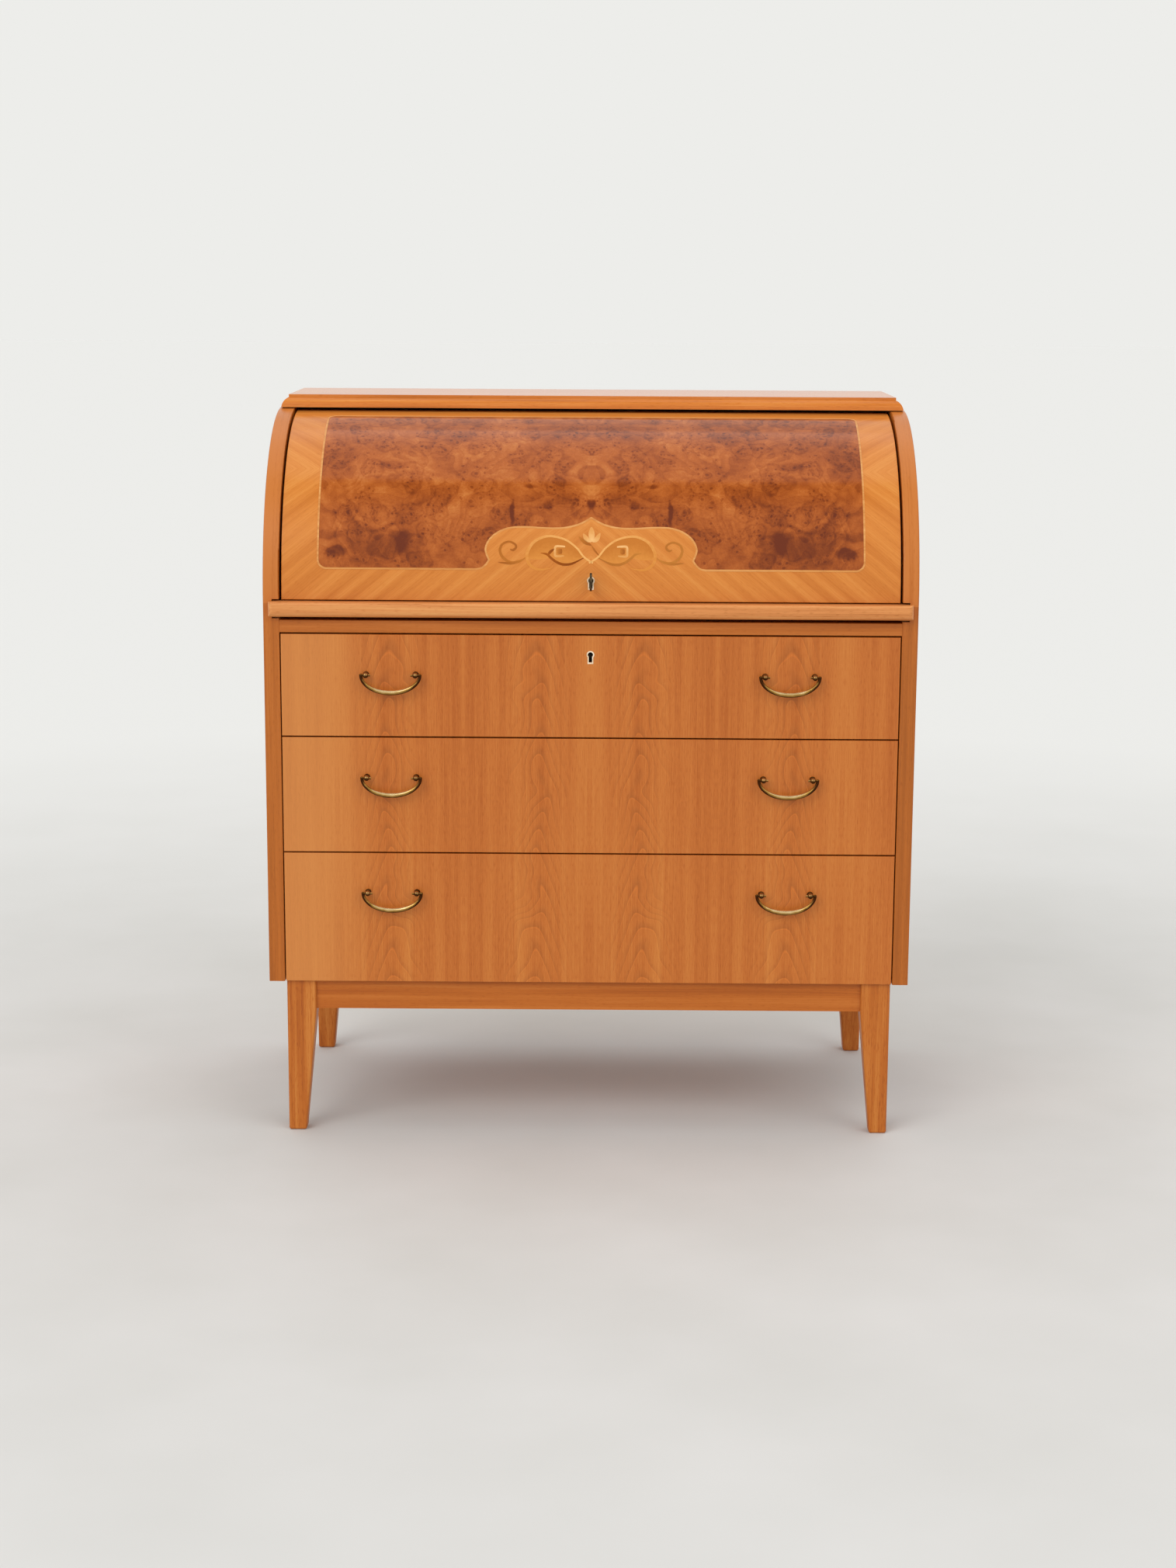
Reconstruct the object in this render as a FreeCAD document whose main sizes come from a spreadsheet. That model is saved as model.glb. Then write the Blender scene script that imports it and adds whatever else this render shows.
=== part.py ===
import FreeCAD, Part
import math
import operator
import os
import types
import Sketcher

# A secretary desk with a rigid cylinder front: X runs to the right, Y to the back and Z up.
# The origin lies on the floor, in the middle of the desk's plan.

SIZES = {
    # The case and its top
    "case_width": 900,
    "case_depth": 442,
    "side_thick": 22,
    "side_arc": 255,
    "side_ease": 1.5,
    "arc_drop": 3,
    "top_thick": 18,
    "top_set_back": 225.5,
    "top_end_inset": 3,
    "mould_run": 10,
    "mould_rise": 14,
    "mould_radius": 17,
    "back_thick": 8,
    "back_rabbet": 10,
    "board_fit": 0.2,
    "bottom_thick": 16,
    "bottom_set_back": 4,
    # The base
    "leg_height": 221,
    "leg_top": 41.5,
    "leg_foot": 25,
    "leg_inset": 23.7,
    "leg_set_back": 6,
    "leg_block": 44,
    "leg_ease": 3.5,
    "apron_height": 42,
    "apron_thick": 20,
    "apron_set_back": 5,
    "brace_gap": 3,
    "brace_width": 32,
    "brace_height": 26,
    # The drawers
    "drawer_1_height": 142,
    "drawer_2_height": 162,
    "drawer_3_height": 185,
    "drawer_lift": 0.5,
    "drawer_gap": 2,
    "drawer_end_gap": 1.5,
    "front_thick": 18,
    "front_ease": 1,
    "box_inset": 6.5,
    "box_end_room": 22,
    "box_wall": 10,
    "box_lift": 20,
    "box_drop": 18,
    "box_bottom": 5,
    "box_bottom_rise": 6,
    "box_bottom_groove": 4,
    "box_back_drop": 5,
    "runner_groove": 5,
    "runner_height": 12,
    "runner_gap": 0.3,
    "runner_rise": 45,
    # The bail handles
    "handle_offset": 275,
    "handle_drop": 55,
    "post_half_gap": 34.2,
    "post_head": 3.9,
    "post_neck": 2.6,
    "post_foot": 4.2,
    "post_foot_thick": 1.6,
    "bail_stand_off": 11,
    "bail_half_width": 40.6,
    "bail_sag": 24.1,
    "bail_middle": 3.6,
    "bail_end": 2.2,
    "bail_knuckle": 2.4,
    "bail_pin": 1.5,
    "bail_spur": 2.5,
    "running_fit": 0.05,
    # The rail, the dust panel and the writing slab
    "rail_height": 17.5,
    "rail_depth": 60,
    "rail_set_back": 1,
    "rail_ease": 1,
    "dust_thick": 6,
    "dust_rise": 6,
    "dust_groove": 5,
    "slab_rise": 6,
    "slab_thick": 20,
    "slab_end_room": 46,
    "slab_groove": 10,
    "slab_end_gap": 0.5,
    "slab_head_room": 2.5,
    "bearer_thick": 4,
    "bearer_set_back": 12,
    "slide_gap": 0.3,
    "lip_inset": 8,
    "lip_drop": 1,
    "lip_gap": 0.3,
    "lip_reach": 14,
    "lip_top_round": 4,
    "lip_low_round": 9,
    "lip_end_round": 7,
    "lip_end_rise": 3,
    # The cylinder front and its pivots
    "shell_recess": 4,
    "shell_thick": 12,
    "shell_ease": 1,
    "shell_end_gap": 3,
    "shell_lift": 1.5,
    "shell_top_angle": 88,
    "pivot_set_back": 206.5,
    "pivot_rise": 38.8,
    "pivot_radius": 5,
    "pivot_depth": 12,
    "arm_thick": 12,
    "arm_inset": 1,
    "arm_hub": 18,
    "arm_low_angle": 20,
    "arm_high_angle": 74,
    "arm_window": 30,
    "arm_window_reach": 112,
    "glue_gap": 0.05,
    # The locks, the key and the escutcheons
    "lock_half_width": 25,
    "lock_seat": 14,
    "lock_thick": 15,
    "lock_height": 46,
    "lock_fit": 0.2,
    "key_rise": 30,
    "key_reach": 24,
    "key_shaft": 2.4,
    "key_collar": 3.1,
    "key_bow": 12.5,
    "key_bow_hole": 8,
    "key_bow_thick": 3.2,
    "key_depth": 12,
    "key_bit_drop": 8,
    "key_bit_width": 2.2,
    "key_bit_length": 5,
    "key_chamber": 9.5,
    "bolt_half_width": 8,
    "bolt_thick": 6,
    "bolt_length": 17,
    "bolt_set_back": 4,
    "bolt_throw": 7,
    "bolt_fit": 0.2,
    "bolt_lift": 0.6,
    "mortise_spare": 2,
    "strike_half_width": 20,
    "strike_depth": 14,
    "strike_thick": 1.5,
    "keyhole_round": 3.6,
    "keyhole_slot": 2.3,
    "keyhole_drop": 10.9,
    "keyhole_band": 1.7,
    "keyhole_proud": 0.3,
    "keyhole_inlay": 3,
    "drawer_key_drop": 26.3,
    "drawer_lock_seat": 11,
    # The gallery behind the cylinder front
    "gallery_set_back": 150,
    "gallery_end_room": 94,
    "gallery_height": 137,
    "gallery_inset": 22,
    "gallery_lift": 0.5,
    "gallery_base_thick": 12,
    "gallery_board": 10,
    "gallery_back_thick": 5,
    "gallery_bay": 140,
    "small_opening": 58,
    "small_gap": 0.8,
    "small_front_thick": 12,
    "small_end_room": 13,
    "small_wall": 7,
    "small_bottom": 4,
    "small_knob": 8,
    "small_knob_neck": 4,
    "small_knob_reach": 16,
    # How far a cutting block runs past the wood
    "past": 2,
}


class Size:
    """A size with its number now and its formula in the sheet, joined by plain arithmetic."""

    def __init__(self, number, text):
        self.number = float(number)
        self.text = text

    def __add__(self, other):
        return joined(operator.add, self, "+", other)

    def __radd__(self, other):
        return joined(operator.add, other, "+", self)

    def __sub__(self, other):
        return joined(operator.sub, self, "-", other)

    def __rsub__(self, other):
        return joined(operator.sub, other, "-", self)

    def __mul__(self, other):
        return joined(operator.mul, self, "*", other)

    def __rmul__(self, other):
        return joined(operator.mul, other, "*", self)

    def __truediv__(self, other):
        return joined(operator.truediv, self, "/", other)

    def __neg__(self):
        return joined(operator.mul, -1, "*", self)


def as_size(value):
    """A plain number as a size."""
    return value if isinstance(value, Size) else Size(value, f"({value})")


def joined(act, left, sign, right):
    """Two sizes joined by one sign of arithmetic."""
    left = as_size(left)
    right = as_size(right)
    return Size(act(left.number, right.number), f"({left.text} {sign} {right.text})")


def root(square):
    """The square root of a size."""
    return Size(math.sqrt(square.number), f"sqrt({square.text})")


def cosine(angle):
    """The cosine of an angle in degrees."""
    return Size(math.cos(math.radians(angle.number)), f"cos({angle.text} * 1 deg)")


def sine(angle):
    """The sine of an angle in degrees."""
    return Size(math.sin(math.radians(angle.number)), f"sin({angle.text} * 1 deg)")


doc = FreeCAD.newDocument("cylinder_desk")
sheet = doc.addObject("Spreadsheet::Sheet", "Sizes")
for row, (name, number) in enumerate(SIZES.items(), start=1):
    sheet.set(f"A{row}", name)
    sheet.set(f"B{row}", str(number))
    sheet.setAlias(f"B{row}", name)
doc.recompute()
s = types.SimpleNamespace(**{name: Size(number, f"Sizes.{name}") for name, number in SIZES.items()})

pieces = []


def keep(piece, name):
    """The piece goes into the assembly under its own name."""
    piece.Label = name
    pieces.append(piece)
    return piece


def place(thing, x=0, y=0, z=0):
    """The thing stands at this point of the desk."""
    for axis, size in zip("xyz", (x, y, z)):
        thing.setExpression(f"Placement.Base.{axis}", as_size(size).text)
    return thing


def board(name, x, y, z):
    """A squared board between two limits along each axis."""
    piece = doc.addObject("Part::Box", name)
    for side, (low, high) in zip(("Length", "Width", "Height"), (x, y, z)):
        piece.setExpression(side, (as_size(high) - low).text)
    return place(piece, x[0], y[0], z[0])


def rod(name, axis, radius, low, high, first, second):
    """A round bar along one axis, through the other two coordinates in their order."""
    turns = {"x": ((0, 1, 0), 90), "y": ((1, 0, 0), -90), "z": ((0, 0, 1), 0)}
    centres = {"x": (low, first, second), "y": (first, low, second), "z": (first, second, low)}
    piece = doc.addObject("Part::Cylinder", name)
    piece.setExpression("Radius", radius.text)
    piece.setExpression("Height", (as_size(high) - low).text)
    direction, angle = turns[axis]
    piece.Placement.Rotation = FreeCAD.Rotation(FreeCAD.Vector(*direction), angle)
    return place(piece, *centres[axis])


def ball(name, radius, x, y, z):
    """A ball about a point."""
    piece = doc.addObject("Part::Sphere", name)
    piece.setExpression("Radius", radius.text)
    return place(piece, x, y, z)


def fused(name, *solids):
    """Solids grown together into one."""
    piece = doc.addObject("Part::MultiFuse", name)
    piece.Shapes = list(solids)
    return piece


def cut(name, base, *tools):
    """The base with the tools' room cut out of it."""
    piece = doc.addObject("Part::Cut", name)
    piece.Base = base
    piece.Tool = tools[0] if len(tools) == 1 else fused(name + "_waste", *tools)
    return piece


def shared(name, *solids):
    """What solids have in common."""
    piece = doc.addObject("Part::MultiCommon", name)
    piece.Shapes = list(solids)
    return piece


def group(name, solids):
    """Like solids that share one node."""
    piece = doc.addObject("Part::Compound", name)
    piece.Links = list(solids)
    return piece


def draw(sketch, corners):
    """A closed outline in the sketch, each corner held at its two coordinates.

    A corner is (u, v), followed by a straight edge, or (u, v, radius, turn), followed by an arc
    that turns left for +1 and right for -1.
    """
    points = [FreeCAD.Vector(as_size(c[0]).number, as_size(c[1]).number, 0) for c in corners]
    starts = []
    ends = []
    for index, corner in enumerate(corners):
        here = points[index]
        there = points[(index + 1) % len(points)]
        start_index, end_index = 1, 2
        if len(corner) == 2:
            edge = Part.LineSegment(here, there)
        else:
            radius = corner[2].number
            chord = there - here
            normal = FreeCAD.Vector(-chord.y, chord.x, 0).normalize() * corner[3]
            centre = (here + there) * 0.5 + normal * math.sqrt(radius**2 - chord.Length**2 / 4)
            if corner[3] < 0:
                here, there = there, here
                start_index, end_index = 2, 1
            low = math.atan2(here.y - centre.y, here.x - centre.x)
            high = math.atan2(there.y - centre.y, there.x - centre.x)
            circle = Part.Circle(centre, FreeCAD.Vector(0, 0, 1), radius)
            edge = Part.ArcOfCircle(circle, low, high)
        sketch.addGeometry(edge)
        starts.append(start_index)
        ends.append(end_index)
    for index, corner in enumerate(corners):
        before = index - 1 if index else len(corners) - 1
        sketch.addConstraint(
            Sketcher.Constraint("Coincident", before, ends[before], index, starts[index])
        )
        for kind, size in zip(("DistanceX", "DistanceY"), corner[:2]):
            size = as_size(size)
            rule = Sketcher.Constraint(kind, -1, 1, index, starts[index], size.number)
            sketch.setExpression(f"Constraints[{sketch.addConstraint(rule)}]", size.text)
        if len(corner) > 2:
            rule = Sketcher.Constraint("Radius", index, corner[2].number)
            sketch.setExpression(f"Constraints[{sketch.addConstraint(rule)}]", corner[2].text)


def sketched(body, name, plane, corners):
    """A sketch on one of the body's own planes."""
    sketch = body.newObject("Sketcher::SketchObject", name)
    support = [feature for feature in body.Origin.OriginFeatures if feature.Role == plane]
    sketch.AttachmentSupport = [(support[0], "")]
    sketch.MapMode = "FlatFace"
    draw(sketch, corners)
    return sketch


def prism(name, plane, corners, low, high):
    """An outline padded across its plane, between two limits."""
    body = doc.addObject("PartDesign::Body", name)
    pad = body.newObject("PartDesign::Pad", name + "_pad")
    pad.Profile = sketched(body, name + "_outline", plane, corners)
    pad.setExpression("Length", (as_size(high) - low).text)
    starts = {"YZ_Plane": (low, 0, 0), "XZ_Plane": (0, high, 0), "XY_Plane": (0, 0, low)}
    return place(body, *starts[plane])


def eased(body, radius, wanted):
    """The body with the wanted arrises rounded off."""
    doc.recompute()
    sharp = body.Tip
    arrises = [
        f"Edge{index}"
        for index, edge in enumerate(sharp.Shape.Edges, start=1)
        if wanted(edge.BoundBox, sharp.Shape.BoundBox)
    ]
    ease = body.newObject("PartDesign::Fillet", body.Name + "_ease")
    ease.Base = (sharp, arrises)
    ease.setExpression("Radius", radius.text)
    return body


def either_side(sign, near, far):
    """Two distances from the middle as limits along X, on the left for -1 and the right for +1."""
    return (near, far) if sign > 0 else (-far, -near)


SIDES = ((-1, "left"), (1, "right"))
TINY = 0.001

# Levels from the floor up, and the depths from the front edges of the sides
front = (s.key_reach - s.case_depth) / 2
back = (s.key_reach + s.case_depth) / 2
half = s.case_width / 2
inner = half - s.side_thick
back_face = back - s.back_thick
case_floor = s.leg_height
drawer_heights = {1: s.drawer_1_height, 2: s.drawer_2_height, 3: s.drawer_3_height}
drawer_floors = {3: case_floor + s.drawer_lift}
for number in (2, 1):
    drawer_floors[number] = drawer_floors[number + 1] + drawer_heights[number + 1] + s.drawer_gap
rail_floor = drawer_floors[1] + drawer_heights[1] + s.drawer_gap
rail_top = rail_floor + s.rail_height
rail_back = front + s.rail_set_back + s.rail_depth
slab_floor = rail_top + s.slab_rise
slab_top = slab_floor + s.slab_thick
slab_back = back_face - s.slab_end_room
groove_floor = slab_floor - s.bearer_thick
groove_top = slab_top + s.slab_head_room
shoulder = slab_top - s.arc_drop
roof = shoulder + s.side_arc
crown = roof + s.top_thick
arc_y = front + s.side_arc
pivot_y = front + s.pivot_set_back
pivot_z = shoulder + s.pivot_rise
dust_floor = rail_floor + s.dust_rise
dust_top = dust_floor + s.dust_thick

# Locks: the cylinder's key stands above the slab, the drawer's below the top edge of its front
key_z = slab_top + s.key_rise
lock_floor = slab_top + s.shell_lift
bolt_y = front + s.lock_seat + s.bolt_set_back
drawer_1_top = drawer_floors[1] + drawer_heights[1]
drawer_bolt_y = front + s.drawer_lock_seat + s.bolt_set_back


def bolt_room(name, low, high, y):
    """The space a bolt slides in, with its fit all round."""
    x = s.bolt_half_width + s.bolt_fit
    return board(name, (-x, x), (y - s.bolt_fit, y + s.bolt_thick + s.bolt_fit), (low, high))


# Sides: the front edge bends back in a quarter circle, and the slab's groove opens at the front
def along_front(edge, whole):
    """Whether an edge of a side follows its front, up the straight and round the curve."""
    upper = edge.YLength > TINY and edge.ZLength > TINY
    return edge.XLength < TINY and (upper or edge.YMax < whole.YMin + TINY)


for sign, hand in SIDES:
    name = "side_" + hand
    outline = [
        (front, case_floor),
        (back, case_floor),
        (back, roof),
        (arc_y, roof, s.side_arc, 1),
        (front, shoulder),
    ]
    blank = prism(name + "_blank", "YZ_Plane", outline, *either_side(sign, inner, half))
    eased(blank, s.side_ease, along_front)
    groove = board(
        name + "_slab_groove",
        either_side(sign, inner - s.past, inner + s.slab_groove),
        (front - s.past, slab_back),
        (groove_floor, groove_top),
    )
    dust_groove = board(
        name + "_dust_groove",
        either_side(sign, inner - s.past, inner + s.dust_groove),
        (rail_back, back),
        (dust_floor - s.board_fit, dust_top + s.board_fit),
    )
    rabbet = board(
        name + "_rabbet",
        either_side(sign, inner - s.past, inner + s.back_rabbet),
        (back_face, back + s.past),
        (case_floor - s.past, roof + s.past),
    )
    pin_hole = rod(
        name + "_pin_hole",
        "x",
        s.pivot_radius + s.running_fit,
        *either_side(sign, inner - s.past, inner + s.pivot_depth),
        pivot_y,
        pivot_z,
    )
    keep(cut(name, blank, groove, dust_groove, rabbet, pin_hole), name)

# Top board: an ovolo under a small upright edge, run along the front and both ends
mould_z = roof + s.mould_rise
top_front = front + s.top_set_back
top_half = half - s.top_end_inset
upper_half = top_half - s.mould_run
front_section = [
    (top_front, roof),
    (back, roof),
    (back, crown),
    (top_front + s.mould_run, crown),
    (top_front + s.mould_run, mould_z, s.mould_radius, 1),
]
end_section = [
    (-top_half, roof),
    (top_half, roof, s.mould_radius, 1),
    (upper_half, mould_z),
    (upper_half, crown),
    (-upper_half, crown),
    (-upper_half, mould_z, s.mould_radius, 1),
]
top_run = prism("top_board_front_run", "YZ_Plane", front_section, -top_half, top_half)
top_ends = prism("top_board_end_run", "XZ_Plane", end_section, top_front, back)
keep(shared("top_board", top_run, top_ends), "top_board")


def long_in_front(edge, whole):
    """Whether an edge runs along the foremost face from end to end."""
    return edge.YMax < whole.YMin + TINY and edge.XLength > TINY


# Back, bottom, rail and dust panel
panel_half = inner + s.back_rabbet - s.board_fit
keep(
    board("back_panel", (-panel_half, panel_half), (back_face, back), (case_floor, roof)),
    "back_panel",
)
keep(
    board(
        "bottom_board",
        (-inner, inner),
        (front + s.front_thick + s.bottom_set_back, back_face),
        (case_floor, case_floor + s.bottom_thick),
    ),
    "bottom_board",
)
rail_front = front + s.rail_set_back
rail_section = [
    (rail_front, rail_floor),
    (rail_back, rail_floor),
    (rail_back, rail_top),
    (rail_front, rail_top),
]
rail_blank = prism("front_rail_blank", "YZ_Plane", rail_section, -inner, inner)
eased(rail_blank, s.rail_ease, long_in_front)
rail_mortise = bolt_room(
    "front_rail_mortise",
    rail_floor - s.past,
    drawer_1_top + s.bolt_throw + s.mortise_spare,
    drawer_bolt_y,
)
keep(cut("front_rail", rail_blank, rail_mortise), "front_rail")
dust_half = inner + s.dust_groove - s.board_fit
keep(
    board("dust_panel", (-dust_half, dust_half), (rail_back, back_face), (dust_floor, dust_top)),
    "dust_panel",
)

# Slide bearers: hard strips in the grooves of the sides, which carry the slab
bearers = [
    board(
        "slide_bearer_" + hand,
        either_side(sign, inner, inner + s.slab_groove),
        (front + s.bearer_set_back, slab_back),
        (groove_floor, slab_floor - s.slide_gap),
    )
    for sign, hand in SIDES
]
keep(group("slide_bearers", bearers), "slide_bearers")

# Legs: square at the apron, tapered below it on the two inner faces, with eased arrises
leg_x = half - s.leg_inset
leg_front = front + s.leg_set_back
leg_back = back - s.leg_set_back
ROWS = ((-1, "front", leg_front), (1, "back", leg_back))


def leg_square(body, name, sign, row, width, height):
    """A square in plan from the leg's outer corner inwards, at one height."""
    u = -sign * width
    v = -row * width
    sketch = sketched(body, name, "XY_Plane", [(0, 0), (u, 0), (u, v), (0, v)])
    sketch.setExpression("AttachmentOffset.Base.z", as_size(height).text)
    return sketch


def outer_arris(edge, whole):
    """Whether an edge of a leg runs up it or round its foot."""
    return edge.ZLength > s.leg_block.number / 2 or edge.ZMax < whole.ZMin + TINY


for row, end, leg_y in ROWS:
    for sign, hand in SIDES:
        name = f"leg_{end}_{hand}"
        leg = doc.addObject("PartDesign::Body", name)
        block_floor = s.leg_height - s.leg_block
        upper = leg_square(leg, name + "_upper", sign, row, s.leg_top, block_floor)
        lower = leg_square(leg, name + "_lower", sign, row, s.leg_foot, 0)
        taper = leg.newObject("PartDesign::AdditiveLoft", name + "_taper")
        taper.Profile = upper
        taper.Sections = [lower]
        taper.Ruled = True
        block = leg.newObject("PartDesign::Pad", name + "_block")
        block.Profile = leg_square(leg, name + "_square", sign, row, s.leg_top, block_floor)
        block.setExpression("Length", s.leg_block.text)
        place(leg, sign * leg_x, leg_y, 0)
        keep(eased(leg, s.leg_ease, outer_arris), name)

# Aprons between the legs, set back from the legs' faces, and braces across the corners
apron_floor = case_floor - s.apron_height
apron_z = (apron_floor, case_floor)
apron_x = leg_x - s.leg_top
apron_in = s.apron_set_back + s.apron_thick
for row, end, leg_y in ROWS:
    near = leg_y - row * s.apron_set_back
    far = leg_y - row * apron_in
    depth = (near, far) if row < 0 else (far, near)
    keep(board("apron_" + end, (-apron_x, apron_x), depth, apron_z), "apron_" + end)
side_aprons = [
    board(
        "apron_" + hand,
        either_side(sign, leg_x - apron_in, leg_x - s.apron_set_back),
        (leg_front + s.leg_top, leg_back - s.leg_top),
        apron_z,
    )
    for sign, hand in SIDES
]
keep(group("side_aprons", side_aprons), "side_aprons")
braces = []
brace_near = 2 * s.leg_top - apron_in + s.brace_gap
brace_far = brace_near + s.brace_width
for row, end, leg_y in ROWS:
    for sign, hand in SIDES:
        marks = ((brace_near, apron_in), (brace_far, apron_in), (apron_in, brace_far), (apron_in, brace_near))
        plan = [(sign * (leg_x - u), leg_y - row * v) for u, v in marks]
        braces.append(
            prism(f"brace_{end}_{hand}", "XY_Plane", plan, case_floor - s.brace_height, case_floor)
        )
keep(group("corner_braces", braces), "corner_braces")

# Writing slab: a lipped board in the sides' grooves, with a strike for the cylinder's bolt
slab_half = inner + s.slab_groove - s.slab_end_gap
slab_front = front - s.lip_gap
slab_blank = board(
    "writing_slab_blank", (-slab_half, slab_half), (slab_front, slab_back), (slab_floor, slab_top)
)
strike_y = bolt_y + s.bolt_thick / 2 - s.strike_depth / 2
strike_floor = slab_top - s.strike_thick
strike_seat = board(
    "writing_slab_strike_seat",
    (-s.strike_half_width - s.board_fit, s.strike_half_width + s.board_fit),
    (strike_y - s.board_fit, strike_y + s.strike_depth + s.board_fit),
    (strike_floor, slab_top + s.past),
)
bolt_low = lock_floor + s.bolt_lift
slab_mortise = bolt_room(
    "writing_slab_mortise", bolt_low - s.bolt_throw - s.mortise_spare, slab_top + s.past, bolt_y
)
keep(cut("writing_slab", slab_blank, strike_seat, slab_mortise), "writing_slab")
strike_blank = board(
    "strike_plate_blank",
    (-s.strike_half_width, s.strike_half_width),
    (strike_y, strike_y + s.strike_depth),
    (strike_floor, slab_top),
)
strike_slot = bolt_room("strike_plate_slot", strike_floor - s.past, slab_top + s.past, bolt_y)
keep(cut("strike_plate", strike_blank, strike_slot), "strike_plate")

# Lip: a rounded nosing over the front edges of the sides, with rounded ends
lip_half = half - s.lip_inset
lip_face = slab_front - s.lip_reach
lip_floor = slab_floor - s.lip_drop
lip_section = [
    (lip_face + s.lip_low_round, lip_floor),
    (slab_front, lip_floor),
    (slab_front, slab_top),
    (lip_face + s.lip_top_round, slab_top, s.lip_top_round, 1),
    (lip_face, slab_top - s.lip_top_round),
    (lip_face, lip_floor + s.lip_low_round, s.lip_low_round, 1),
]
lip_plan = [
    (-lip_half + s.lip_end_round, lip_face),
    (lip_half - s.lip_end_round, lip_face, s.lip_end_round, 1),
    (lip_half, lip_face + s.lip_end_round),
    (lip_half, slab_front),
    (-lip_half, slab_front),
    (-lip_half, lip_face + s.lip_end_round, s.lip_end_round, 1),
]
lip_run = prism("slab_lip_run", "YZ_Plane", lip_section, -lip_half, lip_half)
lip_rise = [
    (-lip_half + s.lip_end_rise, lip_floor),
    (lip_half - s.lip_end_rise, lip_floor, s.lip_end_rise, 1),
    (lip_half, lip_floor + s.lip_end_rise),
    (lip_half, slab_top),
    (-lip_half, slab_top),
    (-lip_half, lip_floor + s.lip_end_rise, s.lip_end_rise, 1),
]
lip_ends = prism("slab_lip_ends", "XY_Plane", lip_plan, lip_floor, slab_top)
lip_under = prism("slab_lip_under", "XZ_Plane", lip_rise, lip_face, slab_front)
keep(shared("slab_lip", lip_run, lip_ends, lip_under), "slab_lip")


def keyhole(name, spread, low, high, z):
    """A keyhole's outline, a round over a slot, run along Y and grown by a spread."""
    slot = s.keyhole_slot + spread
    return fused(
        name,
        rod(name + "_round", "y", s.keyhole_round + spread, low, high, 0, z),
        board(name + "_slot", (-slot, slot), (low, high), (z - s.keyhole_drop - spread, z)),
    )


# Cylinder front: a rigid shell bent to the sides' curve, its lower edge cut level above the slab
outer_radius = s.side_arc - s.shell_recess
inner_radius = outer_radius - s.shell_thick
shell_half = inner - s.shell_end_gap
shell_floor = slab_top + s.shell_lift
edge_rise = shell_floor - shoulder


def on_arc(radius, angle):
    """A point of the case's curve: its depth and its height, from the angle above the level."""
    return arc_y - radius * cosine(angle), shoulder + radius * sine(angle)


def level_on_arc(radius):
    """Where a curve of the case meets the level of the shell's lower edge."""
    return arc_y - root(radius * radius - edge_rise * edge_rise), shell_floor


shell_outline = [
    (*level_on_arc(inner_radius), inner_radius, -1),
    on_arc(inner_radius, s.shell_top_angle),
    (*on_arc(outer_radius, s.shell_top_angle), outer_radius, 1),
    level_on_arc(outer_radius),
]
shell_blank = prism("cylinder_shell_blank", "YZ_Plane", shell_outline, -shell_half, shell_half)


def round_outside(edge, whole):
    """Whether an edge of the shell bounds its outer face at an end or along the bottom."""
    at_end = edge.XLength < TINY and edge.YMin < whole.YMin + TINY
    along_bottom = edge.XLength > TINY and edge.YMax < whole.YMin + TINY
    return along_bottom or (at_end and edge.ZLength > s.shell_thick.number)


eased(shell_blank, s.shell_ease, round_outside)
lock_face = front + s.lock_seat
lock_top = lock_floor + s.lock_height
lock_room = s.lock_half_width + s.lock_fit
shell_seat = board(
    "cylinder_shell_lock_seat",
    (-lock_room, lock_room),
    (lock_face, lock_face + s.lock_thick + s.shell_thick),
    (shell_floor - s.past, lock_top + s.lock_fit),
)
inlay_back = front + s.lock_seat - s.keyhole_inlay
shell_hole = keyhole("cylinder_shell_keyhole", as_size(0), front - s.past, lock_face + s.past, key_z)
shell_inlay = keyhole(
    "cylinder_shell_inlay_seat", s.keyhole_band + s.running_fit, front - s.past, inlay_back, key_z
)
keep(cut("cylinder_shell", shell_blank, shell_seat, shell_hole, shell_inlay), "cylinder_shell")
ring = cut(
    "cylinder_escutcheon_ring",
    keyhole("cylinder_escutcheon_outer", s.keyhole_band, front - s.past, inlay_back, key_z),
    keyhole("cylinder_escutcheon_inner", as_size(0), front - 2 * s.past, inlay_back + s.past, key_z),
)
ring_face = rod(
    "cylinder_escutcheon_face",
    "x",
    outer_radius + s.keyhole_proud,
    -s.lock_half_width,
    s.lock_half_width,
    arc_y,
    shoulder,
)
keep(shared("cylinder_escutcheon", ring, ring_face), "cylinder_escutcheon")

# Arms: webs from the shell's hollow side to hubs on the pivot pins, inside the ends of the shell
arm_outline = [
    (pivot_y, pivot_z),
    (*on_arc(inner_radius - s.glue_gap, s.arm_low_angle), inner_radius - s.glue_gap, -1),
    on_arc(inner_radius - s.glue_gap, s.arm_high_angle),
]
arm_far = shell_half - s.arm_inset
arm_near = arm_far - s.arm_thick
window_angle = (s.arm_low_angle + s.arm_high_angle) / 2
window_y = pivot_y - s.arm_window_reach * cosine(window_angle)
window_z = pivot_z + s.arm_window_reach * sine(window_angle)
pins = []
for sign, hand in SIDES:
    name = "cylinder_arm_" + hand
    across = either_side(sign, arm_near, arm_far)
    beyond = either_side(sign, arm_near - s.past, arm_far + s.past)
    web = prism(name + "_web", "YZ_Plane", arm_outline, *across)
    hub = rod(name + "_hub", "x", s.arm_hub, *across, pivot_y, pivot_z)
    bore = rod(name + "_bore", "x", s.pivot_radius + s.running_fit, *beyond, pivot_y, pivot_z)
    window = rod(name + "_window", "x", s.arm_window, *beyond, window_y, window_z)
    keep(cut(name, fused(name + "_blank", web, hub), bore, window), name)
    reach = either_side(sign, arm_near, inner + s.pivot_depth)
    pins.append(rod("cylinder_pivot_pin_" + hand, "x", s.pivot_radius, *reach, pivot_y, pivot_z))
keep(group("cylinder_pivot_pins", pins), "cylinder_pivot_pins")

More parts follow.
